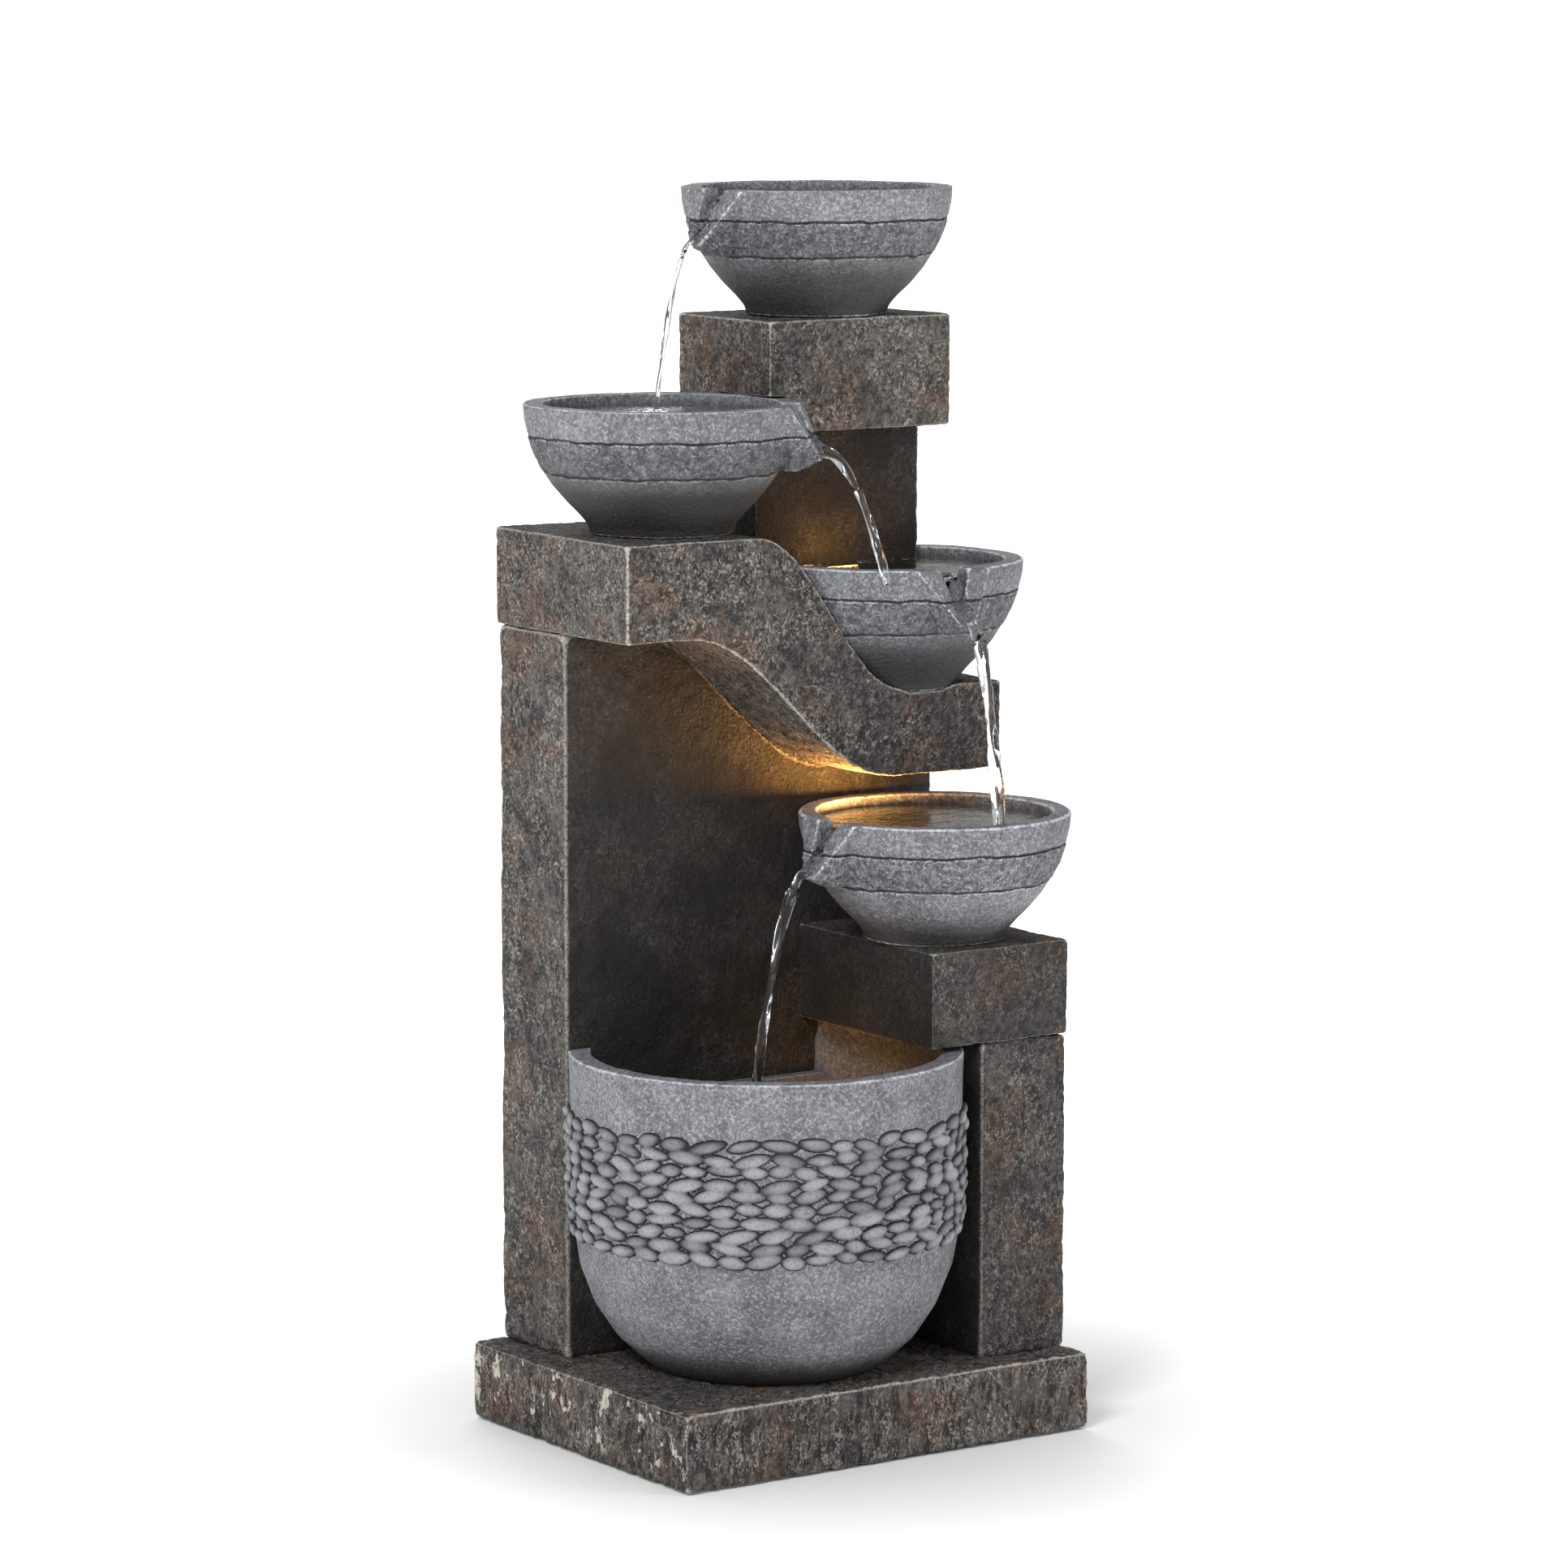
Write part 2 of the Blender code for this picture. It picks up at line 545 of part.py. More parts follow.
def makeBowls():
    bowls = {name: makeBowl(name) for name in BOWLS}
    cutRod(bowls["bowl_1"], NOZZLE_R + FIT, 4 * BOWL_FLOOR, (*BOWL_1_AT, TOWER_TOP))
    cutBox(bowls["bowl_3"], (COLUMN_LEFT - FIT, COLUMN_FRONT - FIT, S_UNDER_LOW),
           (COLUMN_RIGHT + FIT, FAR, TOTAL_H))
    cutRod(bowls["bowl_3"], LEAD_HOLE_R, 4 * BOWL_FLOOR, (*LAMP_3, BOWLS["bowl_3"][2] - BOWL_H),
           steps=16)
    cutRod(bowls["bowl_4"], LEAD_HOLE_R, 4 * BOWL_FLOOR, (*LAMP_4, LEDGE_TOP), steps=16)


# ---- basin --------------------------------------------------------------------------------
def basinSide(inset=0.0, floor=0.0):
    height = BASIN_TOP - SHELF_Z
    return [(BASIN_R * r - inset, max(floor, height * (1 - d))) for r, d in BASIN_SHAPE]


def makeBasin():
    at = (BASIN_X, BASIN_Y, SHELF_Z)
    height = BASIN_TOP - SHELF_Z
    basin = turned("basin", [(0, height)] + basinSide() + [(0, 0)], at, steps=BASIN_STEPS)
    basin.data.shade_smooth()
    cutBox(basin, (-FAR, NICHE_Y - GAP, 0), (FAR, FAR, FAR))
    cutBox(basin, (PILLAR_LEFT - GAP, -FAR, 0), (FAR, FAR, FAR))
    side = [p for p in basinSide(BASIN_WALL) if p[1] > BASIN_FLOOR + 0.006]
    hollow = turned("basin_hollow", [(0, height + 0.02), (side[0][0], height + 0.02)] + side
                    + [(side[-1][0] - 0.012, BASIN_FLOOR), (0, BASIN_FLOOR)], at, tool=True,
                    steps=BASIN_STEPS)
    cutBox(hollow, (-FAR, NICHE_Y - GAP - BASIN_FLOOR, 0), (FAR, FAR, BASIN_TOP - BACK_WALL_DROP))
    cutBox(hollow, (PILLAR_LEFT - GAP - BASIN_FLOOR, -FAR, 0),
           (FAR, FAR, BASIN_TOP - BACK_WALL_DROP))
    cut(basin, hollow)
    for x, y in FLOOR_HOLES:
        cutRod(basin, LEAD_HOLE_R, 4 * BASIN_FLOOR, (x, y, SHELF_Z), steps=16)
    cutRod(basin, HOSE_HOLE_R, 4 * BASIN_FLOOR, (HOSE_X, NICHE_Y, HOSE_Z), axis="Y")
    ring("hose_grommet", HOSE_HOLE_R - GAP, HOSE_R + GAP, BASIN_FLOOR + WALL,
         (HOSE_X, NICHE_Y + WALL - (BASIN_FLOOR + WALL) / 2, HOSE_Z), axis="Y")


# ---- rear door ----------------------------------------------------------------------------
def makeDoor():
    left, right = DOOR_X - DOOR_W / 2, DOOR_X + DOOR_W / 2
    low, high = DOOR_Z - DOOR_H / 2, DOOR_Z + DOOR_H / 2
    inner = TOWER_BACK - DOOR_T / 2 + GAP
    axis = Vector((left - 0.004, TOWER_BACK + 0.0045 + HINGE_R, DOOR_Z))
    pivot = bpy.data.objects.new("door_axis", None)
    pivot.location = axis
    partsBox.objects.link(pivot)
    door = box("rear_door", (left, inner, low), (right, inner + DOOR_T, high), bevel=0.0015)
    leafY = inner + DOOR_T + GAP
    leafLow, leafHigh = DOOR_Z - HINGE_L / 2, DOOR_Z + HINGE_L / 2
    doorLeaf = box("hinge_door_leaf", (axis.x + HINGE_R * 0.4, leafY, leafLow),
                   (left + LEAF_W, leafY + LEAF_T, leafHigh), STEEL)
    frameLeaf = box("hinge_frame_leaf", (axis.x - LEAF_W, TOWER_BACK + GAP, leafLow),
                    (axis.x - HINGE_R * 0.4, TOWER_BACK + GAP + LEAF_T, leafHigh), STEEL)
    knuckle = HINGE_L / KNUCKLES
    for i in range(KNUCKLES):
        centre = (axis.x, axis.y, leafLow + (i + 0.5) * knuckle)
        addRod(doorLeaf if i % 2 else frameLeaf, HINGE_R, knuckle - 2 * GAP, centre, steps=12)
    for i in range(KNUCKLES):
        owner = doorLeaf if i % 2 else frameLeaf
        side = 1 if i % 2 else -1
        root = leafY if i % 2 else TOWER_BACK + GAP
        zLow = leafLow + i * knuckle + GAP
        xs = sorted((axis.x + side * 2 * GAP, axis.x + side * HINGE_R))
        addBox(owner, (xs[0], root, zLow), (xs[1], axis.y, zLow + knuckle - 2 * GAP))
    for i in range(KNUCKLES):
        other = frameLeaf if i % 2 else doorLeaf
        zLow = leafLow + i * knuckle - GAP
        cutBox(other, (axis.x - HINGE_R - 0.0012, TOWER_BACK - 0.001, zLow),
               (axis.x + HINGE_R + 0.0012, axis.y + HINGE_R + 0.001, zLow + knuckle + 2 * GAP))
    for leaf in (doorLeaf, frameLeaf):
        cutRod(leaf, HINGE_PIN_R + GAP / 3, HINGE_L + 0.02, tuple(axis), steps=12)
    rod("hinge_pin", HINGE_PIN_R, HINGE_L + 0.004, tuple(axis), STEEL, steps=12)
    knob = turned("door_knob", [(0, 0.020), (0.008, 0.020), (0.010, 0.017), (0.009, 0.010),
                                (0.005, 0.006), (0.006, GAP), (0, GAP)],
                  (right - 0.022, inner + DOOR_T, DOOR_Z), BLACK, steps=24)
    knob.rotation_euler = (math.radians(-90), 0, 0)
    strike = box("strike_plate", (right - 0.020, inner - 0.0015, DOOR_Z + 0.048),
                 (right - 0.009, inner - GAP, DOOR_Z + 0.072), STEEL)
    magnet = box("door_magnet", (right - 0.020, TOWER_BACK - WALL - 0.011, DOOR_Z + 0.050),
                 (right + 0.006, TOWER_BACK - WALL - GAP, DOOR_Z + 0.070), BLACK)
    addBox(magnet, (right - 0.0200, TOWER_BACK - WALL - 0.005, DOOR_Z + 0.050),
           (right - 0.0088, inner - 0.0015 - GAP, DOOR_Z + 0.070))
    for part in (door, doorLeaf, knob, strike):
        keep = part.location.copy()
        part.parent = pivot
        part.location = keep - axis


# ---- pump ---------------------------------------------------------------------------------
def makePump():
    floor = SHELF_Z + BASIN_FLOOR
    low = floor + PUMP_LIFT
    front, back = PUMP_Y - PUMP_D / 2, PUMP_Y + PUMP_D / 2
    joint = front + 0.75 * SCREEN_D
    mid = low + PUMP_H / 2
    housing = box("pump_housing", (PUMP_X - PUMP_W / 2, joint, low),
                  (PUMP_X + PUMP_W / 2, back, low + PUMP_H), BLACK, bevel=0.004)
    cutRod(housing, INTAKE_R, 0.036, (PUMP_X, joint, mid), axis="Y")
    addRod(housing, TAIL_R, 0.030, (PUMP_X, PUMP_Y + 0.008, low + PUMP_H + 0.010))
    cutRod(housing, 0.0038, 0.060, (PUMP_X, PUMP_Y + 0.008, low + PUMP_H + 0.010))
    cutRod(housing, DIAL_R, 0.024, (PUMP_X + PUMP_W / 2, PUMP_Y + 0.006, mid), axis="X")
    rod("impeller_shaft", 0.0015, 0.020, (PUMP_X, front + 0.0190, mid), STEEL, axis="Y", steps=12)
    impeller = rod("impeller", 0.0052, 0.0130, (PUMP_X, front + 0.0215, mid), WHITE, axis="Y")
    for i in range(3):
        blade = box("impeller_blade", (-0.0145, -0.006, -0.0008), (0.0145, 0.006, 0.0008), tool=True)
        blade.location = (PUMP_X, front + 0.0215, mid)
        blade.rotation_euler = (0, math.radians(60 * i), 0)
        combine(impeller, blade, "UNION")
    cutRod(impeller, 0.0015 + 0.0002, 0.05, (PUMP_X, front + 0.02, mid), axis="Y", steps=12)
    skin = SCREEN_D / 4
    cover = box("pump_strainer", (PUMP_X - PUMP_W / 2, front - skin, low),
                (PUMP_X + PUMP_W / 2, joint - FIT, low + PUMP_H), BLACK, bevel=0.003)
    cutBox(cover, (PUMP_X - PUMP_W / 2 + skin, front, low + skin),
           (PUMP_X + PUMP_W / 2 - skin, joint + SCREEN_D, low + PUMP_H - skin))
    for i in range(7):
        z = low + 0.008 + i * 0.0048
        cutBox(cover, (PUMP_X - 0.020, front - 0.01, z), (PUMP_X + 0.020, front + 0.002, z + 0.0022))
    dial = turned("flow_dial", [(0, 0.006), (0.0085, 0.006), (0.0085, GAP), (0.0057, GAP),
                                (0.0057, -0.010), (0, -0.010)],
                  (PUMP_X + PUMP_W / 2, PUMP_Y + 0.006, mid), WHITE, steps=24, axis="X")
    cutBox(dial, (PUMP_X + PUMP_W / 2 + 0.0045, PUMP_Y + 0.005, mid - 0.007),
           (PUMP_X + PUMP_W / 2 + 0.01, PUMP_Y + 0.007, mid + 0.007))
    spots = [(sx, sy) for sy in (-1, 1) for sx in (-1, 1)]
    for i, (sx, sy) in enumerate(spots):
        turned(f"suction_cup_{i + 1}", [(0, 0.0058), (0.0035, 0.0058), (0.0035, 0.0030),
                                        (0.0085, GAP), (0, GAP)],
               (PUMP_X + sx * 0.018, PUMP_Y + 0.006 + sy * 0.012, floor), RUBBER, steps=20)


# ---- hose and nozzle ----------------------------------------------------------------------
def makeHose():
    floor = SHELF_Z + BASIN_FLOOR
    start = floor + PUMP_LIFT + PUMP_H + 0.0012
    outY = PUMP_Y + 0.008
    x, y = BOWL_1_AT
    top = TOTAL_H - BOWL_H + BOWL_FLOOR
    tail = top - NOZZLE_TAIL
    lead("supply_hose", [
        (PUMP_X, outY, start), (PUMP_X, outY, start + 0.020), (PUMP_X, outY + 0.002, 0.195),
        (PUMP_X, outY + 0.013, 0.228), (HOSE_X, 0.040, HOSE_Z), (HOSE_X, 0.062, HOSE_Z),
        (HOSE_X, 0.085, 0.240), (HOSE_X + 0.004, 0.105, 0.272), (0.000, 0.110, 0.360),
        (0.060, 0.110, 0.450), (0.090, 0.109, 0.530), (RISER_X, RISER_Y, 0.600),
        (RISER_X, RISER_Y, 0.700), (RISER_X, RISER_Y - 0.002, tail - 0.097),
        (RISER_X, y + 0.010, tail - 0.047), (x, y + 0.0015, tail - 0.019),
        (x, y, tail - 0.005), (x, y, tail + 0.011)], HOSE, HOSE_R, 0.032, HOSE_BORE)
    nozzle = [(0, 0.030), (0.0075, 0.030), (0.0075, 0.004), (0.0140, 0.004), (0.0140, GAP),
              (NOZZLE_R, GAP), (NOZZLE_R, -0.032), (TAIL_R, -0.034),
              (TAIL_R, -NOZZLE_TAIL), (0, -NOZZLE_TAIL)]
    cap = turned("fill_nozzle", nozzle, (x, y, top), BLACK, steps=24)
    cutRod(cap, 0.0036, 0.2, (x, y, top))
    ring("nozzle_nut", 0.0125, NOZZLE_R + GAP, 0.008, (x, y, TOWER_TOP - WALL - GAP - 0.004), BLACK)


# ---- lights -------------------------------------------------------------------------------
def makeLamp(index, x, y, floor):
    """A sealed light: cup, board and clear lens, with its lead leaving below."""
    cup = rod(f"lamp_{index}_housing", LAMP_R, LAMP_H, (x, y, floor + GAP + LAMP_H / 2), BLACK)
    cutRod(cup, LAMP_R - LAMP_WALL, LAMP_H, (x, y, floor + LAMP_H / 2 + 0.0045))
    rod(f"lamp_{index}_board", LAMP_R - LAMP_WALL - 2 * GAP, 0.0016,
        (x, y, floor + 0.0045 + 0.0012), WHITE)
    rod(f"lamp_{index}_lens", LAMP_R - LAMP_WALL - GAP, 0.0040, (x, y, floor + LAMP_H - 0.0016), CLEAR)


def makeLamps():
    bowl3 = BOWLS["bowl_3"][2] - BOWL_H + BOWL_FLOOR
    bowl4 = LEDGE_TOP + GAP + BOWL_FLOOR
    basin = SHELF_Z + BASIN_FLOOR
    makeLamp(1, *LAMP_3, bowl3)
    makeLamp(2, *LAMP_4, bowl4)
    makeLamp(3, *LAMP_BASIN, basin)
    x, y = LAMP_3
    side = BOX_RIGHT + GAP
    lead("lamp_1_lead", [
        (x, y, bowl3), (x, y, bowl3 - 0.0234), (x, y + 0.006, bowl3 - 0.0354),
        (x, 0.066, bowl3 - 0.0404), (x - 0.008, 0.078, bowl3 - 0.0614), (0.050, 0.080, 0.440),
        (-0.010, 0.080, 0.330), (-0.062, 0.086, 0.230), (-0.060, 0.092, 0.110),
        (-0.066, 0.094, BOX_Z + 0.006), (-0.070, 0.094, BOX_Z + 0.006), (side, 0.094, BOX_Z + 0.006)])
    x, y = LAMP_4
    slotX = SLOT_X[0] + 0.012
    lead("lamp_2_lead", [
        (x, y, bowl4), (x, y, LEDGE_TOP + 0.0015), (x, y, LEDGE_TOP - 0.0125),
        (x + 0.006, y, LEDGE_TOP - 0.0305), (0.122, y, 0.350), (0.138, y, 0.320),
        (0.150, -0.030, 0.240), (slotX, 0.000, 0.130), (slotX, 0.035, SHELF_Z + 0.0337),
        (slotX, 0.064, SHELF_Z + 0.0322), (0.140, 0.080, SHELF_Z + 0.0277),
        (0.060, 0.086, SHELF_Z + 0.0097), (-0.030, 0.086, SHELF_Z + 0.0077),
        (-0.066, 0.087, BOX_Z - 0.004), (-0.070, 0.087, BOX_Z - 0.004), (side, 0.087, BOX_Z - 0.004)])
    x, y = LAMP_BASIN
    lead("lamp_3_lead", [
        (x, y, basin), (x, y, BASE_H - 0.004), (x, y + 0.006, BASE_H - 0.020),
        (x - 0.010, 0.045, BASE_H - 0.026), (-0.010, 0.095, BASE_H - 0.024),
        (-0.030, 0.112, BASE_H - 0.012), (-0.034, 0.118, BASE_H + 0.006),
        (-0.060, 0.118, BOX_Z), (-0.070, 0.118, BOX_Z), (side, 0.118, BOX_Z)])
    x, y = FLOOR_HOLES[1]
    pumpLow = basin + PUMP_LIFT
    lead("pump_lead", [
        (PUMP_X, PUMP_Y + PUMP_D / 2 + GAP, pumpLow + 0.018), (x, y - 0.003, pumpLow + 0.017),
        (x, y, pumpLow + 0.008), (x, y, BASE_H - 0.004), (x, y + 0.003, BASE_H - 0.016),
        (x - 0.004, 0.060, BASE_H - 0.024), (PASS_X - 0.006, 0.098, BASE_H - 0.020),
        (PASS_X - 0.006, 0.107, BASE_H - 0.002), (PASS_X - 0.010, 0.108, BASE_H + 0.010),
        (-0.062, 0.106, BOX_Z), (-0.070, 0.106, BOX_Z), (side, 0.106, BOX_Z)])


# ---- junction box and gland ---------------------------------------------------------------
def makeJunction():
    low = SHELF_Z + GAP
    case = box("junction_box", (BOX_LEFT, BOX_FRONT, low), (BOX_RIGHT, BOX_BACK, low + BOX_H), BLACK,
               bevel=0.0015)
    cutBox(case, (BOX_LEFT + BOX_WALL, BOX_FRONT + BOX_WALL, low + BOX_WALL),
           (BOX_RIGHT - BOX_WALL, BOX_BACK - BOX_WALL, low + 2 * BOX_H))
    box("junction_lid", (BOX_LEFT, BOX_FRONT, low + BOX_H + GAP),
        (BOX_RIGHT, BOX_BACK, low + BOX_H + GAP + BOX_WALL), BLACK, bevel=0.001)
    back = BASE_D / 2
    gland = turned("cable_gland", [(0, 0.012), (0.0045, 0.012), (0.0085, 0.008), (0.0095, GAP),
                                   (GLAND_R, GAP), (GLAND_R, -0.020), (0, -0.020)],
                   (GLAND_X, back, GLAND_Z), BLACK, steps=20)
    gland.rotation_euler = (math.radians(-90), 0, 0)
    cutRod(gland, 0.0036, 0.1, (GLAND_X, back, GLAND_Z), axis="Y")
    ring("gland_nut", 0.0100, GLAND_R + GAP, 0.005, (GLAND_X, back - WALL - GAP - 0.0025, GLAND_Z),
         BLACK, axis="Y")


def centreOrigin():
    """Move everything so that the origin lies under the middle of the whole object's box."""
    left = min(BOWLS["bowl_2"][0] - BOWL_R, -BASE_W / 2)
    right = max(BOWLS["bowl_3"][0] + BOWL_R, BASE_W / 2)
    front = min(BASIN_Y - BASIN_R, -BASE_D / 2)
    back = max(BOWLS["bowl_1"][1] + BOWL_R, BASE_D / 2)
    middle = Vector(((left + right) / 2, (front + back) / 2, 0))
    for item in list(partsBox.objects) + list(toolsBox.objects):
        if item.parent is None:
            item.location -= middle


makePlinth()
makeTower()
makePillar()
makeLowerLedge()
makeSLedge()
makeColumn()
makeTopLedge()
makeBowls()
makeBasin()
makeDoor()
makePump()
makeHose()
makeLamps()
makeJunction()
centreOrigin()
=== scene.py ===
import json
import math

import bmesh
import bpy
import numpy as np
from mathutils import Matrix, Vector, noise


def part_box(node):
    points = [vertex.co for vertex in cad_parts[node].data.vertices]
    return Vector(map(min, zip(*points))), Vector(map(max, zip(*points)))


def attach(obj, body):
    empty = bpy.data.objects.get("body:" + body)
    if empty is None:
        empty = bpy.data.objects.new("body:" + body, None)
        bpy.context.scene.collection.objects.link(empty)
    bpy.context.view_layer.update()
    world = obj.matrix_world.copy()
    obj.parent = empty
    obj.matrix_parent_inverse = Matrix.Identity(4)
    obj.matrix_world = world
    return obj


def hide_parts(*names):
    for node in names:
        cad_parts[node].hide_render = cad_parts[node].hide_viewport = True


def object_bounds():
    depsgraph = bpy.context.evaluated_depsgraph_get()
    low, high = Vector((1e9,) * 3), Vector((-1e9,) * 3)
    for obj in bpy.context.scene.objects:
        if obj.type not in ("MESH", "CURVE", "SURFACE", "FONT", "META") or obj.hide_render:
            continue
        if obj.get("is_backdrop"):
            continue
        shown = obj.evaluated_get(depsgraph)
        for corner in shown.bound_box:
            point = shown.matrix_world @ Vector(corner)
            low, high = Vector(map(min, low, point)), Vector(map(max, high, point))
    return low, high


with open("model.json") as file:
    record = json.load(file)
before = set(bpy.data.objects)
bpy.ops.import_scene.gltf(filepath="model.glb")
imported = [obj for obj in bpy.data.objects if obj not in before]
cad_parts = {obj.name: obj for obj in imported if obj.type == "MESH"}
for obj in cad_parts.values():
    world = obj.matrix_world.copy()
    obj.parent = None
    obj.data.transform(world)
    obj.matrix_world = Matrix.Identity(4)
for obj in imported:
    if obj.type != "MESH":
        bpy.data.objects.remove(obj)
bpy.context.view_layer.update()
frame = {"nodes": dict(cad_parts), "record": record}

scene = bpy.context.scene
print("frame loaded:", len(frame["nodes"]), "nodes")

# a scale on the castings' voxel size: 1.0 here, larger makes coarser castings, for a first look
coarse = 1.0


def tone(red, green, blue):
    # screen colour 0-255 to the linear values that sockets take
    made = []
    for value in (red, green, blue):
        value = value / 255
        made.append(value / 12.92 if value <= 0.04045 else ((value + 0.055) / 1.055) ** 2.4)
    return (*made, 1.0)


# small helpers for building node trees

def newPaint(name, roughness, metallic=0.0):
    mat = bpy.data.materials.new(name)
    mat.use_nodes = True
    shader = mat.node_tree.nodes["Principled BSDF"]
    shader.inputs["Roughness"].default_value = roughness
    shader.inputs["Metallic"].default_value = metallic
    return mat, mat.node_tree, shader


def addNode(tree, kind, sockets=None, **settings):
    made = tree.nodes.new("ShaderNode" + kind)
    for key, value in settings.items():
        setattr(made, key, value)
    for key, value in (sockets or {}).items():
        if isinstance(value, bpy.types.NodeSocket):
            tree.links.new(value, made.inputs[key])
        else:
            made.inputs[key].default_value = value
    return made


def ownPlace(tree, stretch=(1, 1, 1)):
    where = addNode(tree, "TexCoord").outputs["Object"]
    if stretch == (1, 1, 1):
        return where
    return addNode(tree, "Mapping", {"Vector": where, "Scale": stretch}).outputs[0]


def grain(tree, where, size, detail=2.0, rough=0.5, warp=0.0):
    # noise with features of about this size in metres
    made = addNode(tree, "TexNoise", {"Vector": where, "Scale": 1 / size, "Detail": detail,
                                      "Roughness": rough, "Distortion": warp})
    return made.outputs["Fac"]


def smoothStep(tree, value, low, high, outLow=0.0, outHigh=1.0):
    made = addNode(tree, "MapRange", {"Value": value, "From Min": low, "From Max": high,
                                      "To Min": outLow, "To Max": outHigh},
                   interpolation_type="SMOOTHSTEP")
    return made.outputs["Result"]


def calc(tree, how, a, b=0.0, clamp=False):
    made = addNode(tree, "Math", {0: a, 1: b}, operation=how)
    made.use_clamp = clamp
    return made.outputs[0]


def times(tree, a, b, clamp=False):
    return calc(tree, "MULTIPLY", a, b, clamp)


def mixTone(tree, share, a, b, how="MIX"):
    made = addNode(tree, "Mix", {0: share, 6: a, 7: b}, data_type="RGBA", blend_type=how)
    return made.outputs[2]


def stored(tree, name):
    return addNode(tree, "Attribute", attribute_name=name).outputs["Fac"]


def threads(tree, where, size, width, detail=3.0):
    # thin raised lines that wander and fork, like the skin of torn clay
    wave = grain(tree, where, size, detail, 0.62, 0.6)
    off = calc(tree, "ABSOLUTE", calc(tree, "SUBTRACT", wave, 0.5))
    return smoothStep(tree, off, 0.0, width, 1.0, 0.0)


def bumps(tree, shader, height, depth, strength=1.0):
    made = addNode(tree, "Bump", {"Height": height, "Distance": depth, "Strength": strength})
    tree.links.new(made.outputs[0], shader.inputs["Normal"])


# dark cast resin: brown black, rusty clouds, grey dry brushing on the ridges

darkLook = {
    "ground": tone(42, 38, 35),
    "groundTwo": tone(80, 75, 71),
    "rust": tone(98, 68, 47),
    "pits": tone(17, 15, 14),
    "brushed": tone(184, 178, 171),
    "edges": tone(206, 200, 192),
    "chips": tone(222, 214, 200),
    # colour of the painted shade on the dark castings
    "soot": tone(22, 20, 17),
    # sizes of the marks, in metres
    "cloudSize": 0.070, "rustSize": 0.055, "patchSize": 0.030, "flakeSize": 0.016,
    "coarseSize": 0.0044, "fineSize": 0.0027, "threadSize": 0.0075, "threadWidth": 0.026,
    # how strongly each mark covers
    "rustShare": 0.72, "pitShare": 0.78, "peakShare": 0.58, "threadShare": 0.62, "crestShare": 0.12,
    # the worn edges show less where the painted shade lies
    "wornShare": 0.85, "wornLostToShade": 0.45, "deepShare": 0.75,
    "bump": 0.0040,
    "roughness": 0.80,
}


def darkStone(name, look, stretch=(1, 1, 1), chips=0.0):
    mat, tree, shader = newPaint(name, look["roughness"])
    where = ownPlace(tree)
    pulled = ownPlace(tree, stretch)
    clouds = grain(tree, where, look["cloudSize"], 3.0, 0.55)
    rustClouds = grain(tree, where, look["rustSize"], 4.0, 0.60, 0.4)
    coarseGrain = grain(tree, pulled, look["coarseSize"], 2.0, 0.60, 1.2)
    fine = grain(tree, where, look["fineSize"], 2.0, 0.60)
    line = threads(tree, pulled, look["threadSize"], look["threadWidth"])
    patches = smoothStep(tree, grain(tree, where, look["patchSize"], 2.0, 0.5), 0.36, 0.60, 0.35, 1.0)
    colour = mixTone(tree, smoothStep(tree, clouds, 0.38, 0.62), look["ground"], look["groundTwo"])
    rusty = times(tree, smoothStep(tree, rustClouds, 0.49, 0.64), look["rustShare"])
    colour = mixTone(tree, rusty, colour, look["rust"])
    # dirt sits in the pits, dry brushing catches the crests and the threads
    pits = calc(tree, "MAXIMUM", smoothStep(tree, coarseGrain, 0.50, 0.40), smoothStep(tree, fine, 0.46, 0.36))
    colour = mixTone(tree, times(tree, pits, look["pitShare"]), colour, look["pits"])
    peaks = times(tree, smoothStep(tree, fine, 0.48, 0.58), smoothStep(tree, coarseGrain, 0.48, 0.58))
    brush = calc(tree, "MAXIMUM", times(tree, peaks, look["peakShare"]), times(tree, line, look["threadShare"]))
    brush = times(tree, brush, patches)
    crests = smoothStep(tree, stored(tree, "relief"), 0.30, 0.95)
    brush = calc(tree, "ADD", brush, times(tree, crests, look["crestShare"]), True)
    colour = mixTone(tree, brush, colour, look["brushed"])
    rubbed = times(tree, smoothStep(tree, stored(tree, "worn"), 0.48, 0.86),
                  smoothStep(tree, fine, 0.36, 0.50, 0.35, 1.0))
    if chips:
        flake = grain(tree, ownPlace(tree, (1, 1, 0.75)), look["flakeSize"], 5.0, 0.72, 0.3)
        chipped = times(tree, smoothStep(tree, flake, 0.575, 0.59), stored(tree, "chips"))
        colour = mixTone(tree, times(tree, chipped, chips), colour, look["chips"])
    # painted shade: darker on the sides set per casting, a little uneven with the clouds
    sooty = times(tree, stored(tree, "soot"), smoothStep(tree, clouds, 0.30, 0.62, 1.05, 0.88), True)
    colour = mixTone(tree, sooty, colour, look["soot"])
    # the worn edges show less where the painted shade lies
    lost = times(tree, stored(tree, "soot"), look["wornLostToShade"])
    worn = times(tree, rubbed, calc(tree, "SUBTRACT", look["wornShare"], lost))
    colour = mixTone(tree, worn, colour, look["edges"])
    # painted shade in inner corners, in the pit colour
    deep = smoothStep(tree, stored(tree, "worn"), -0.25, -1.0)
    colour = mixTone(tree, times(tree, deep, look["deepShare"]), colour, look["pits"])
    tree.links.new(colour, shader.inputs["Base Color"])
    height = calc(tree, "ADD", times(tree, fine, 0.45), times(tree, coarseGrain, 0.70))
    height = calc(tree, "ADD", height, times(tree, line, 0.20))
    bumps(tree, shader, height, look["bump"])
    return mat


# cool grey cast resin of the bowls and the basin

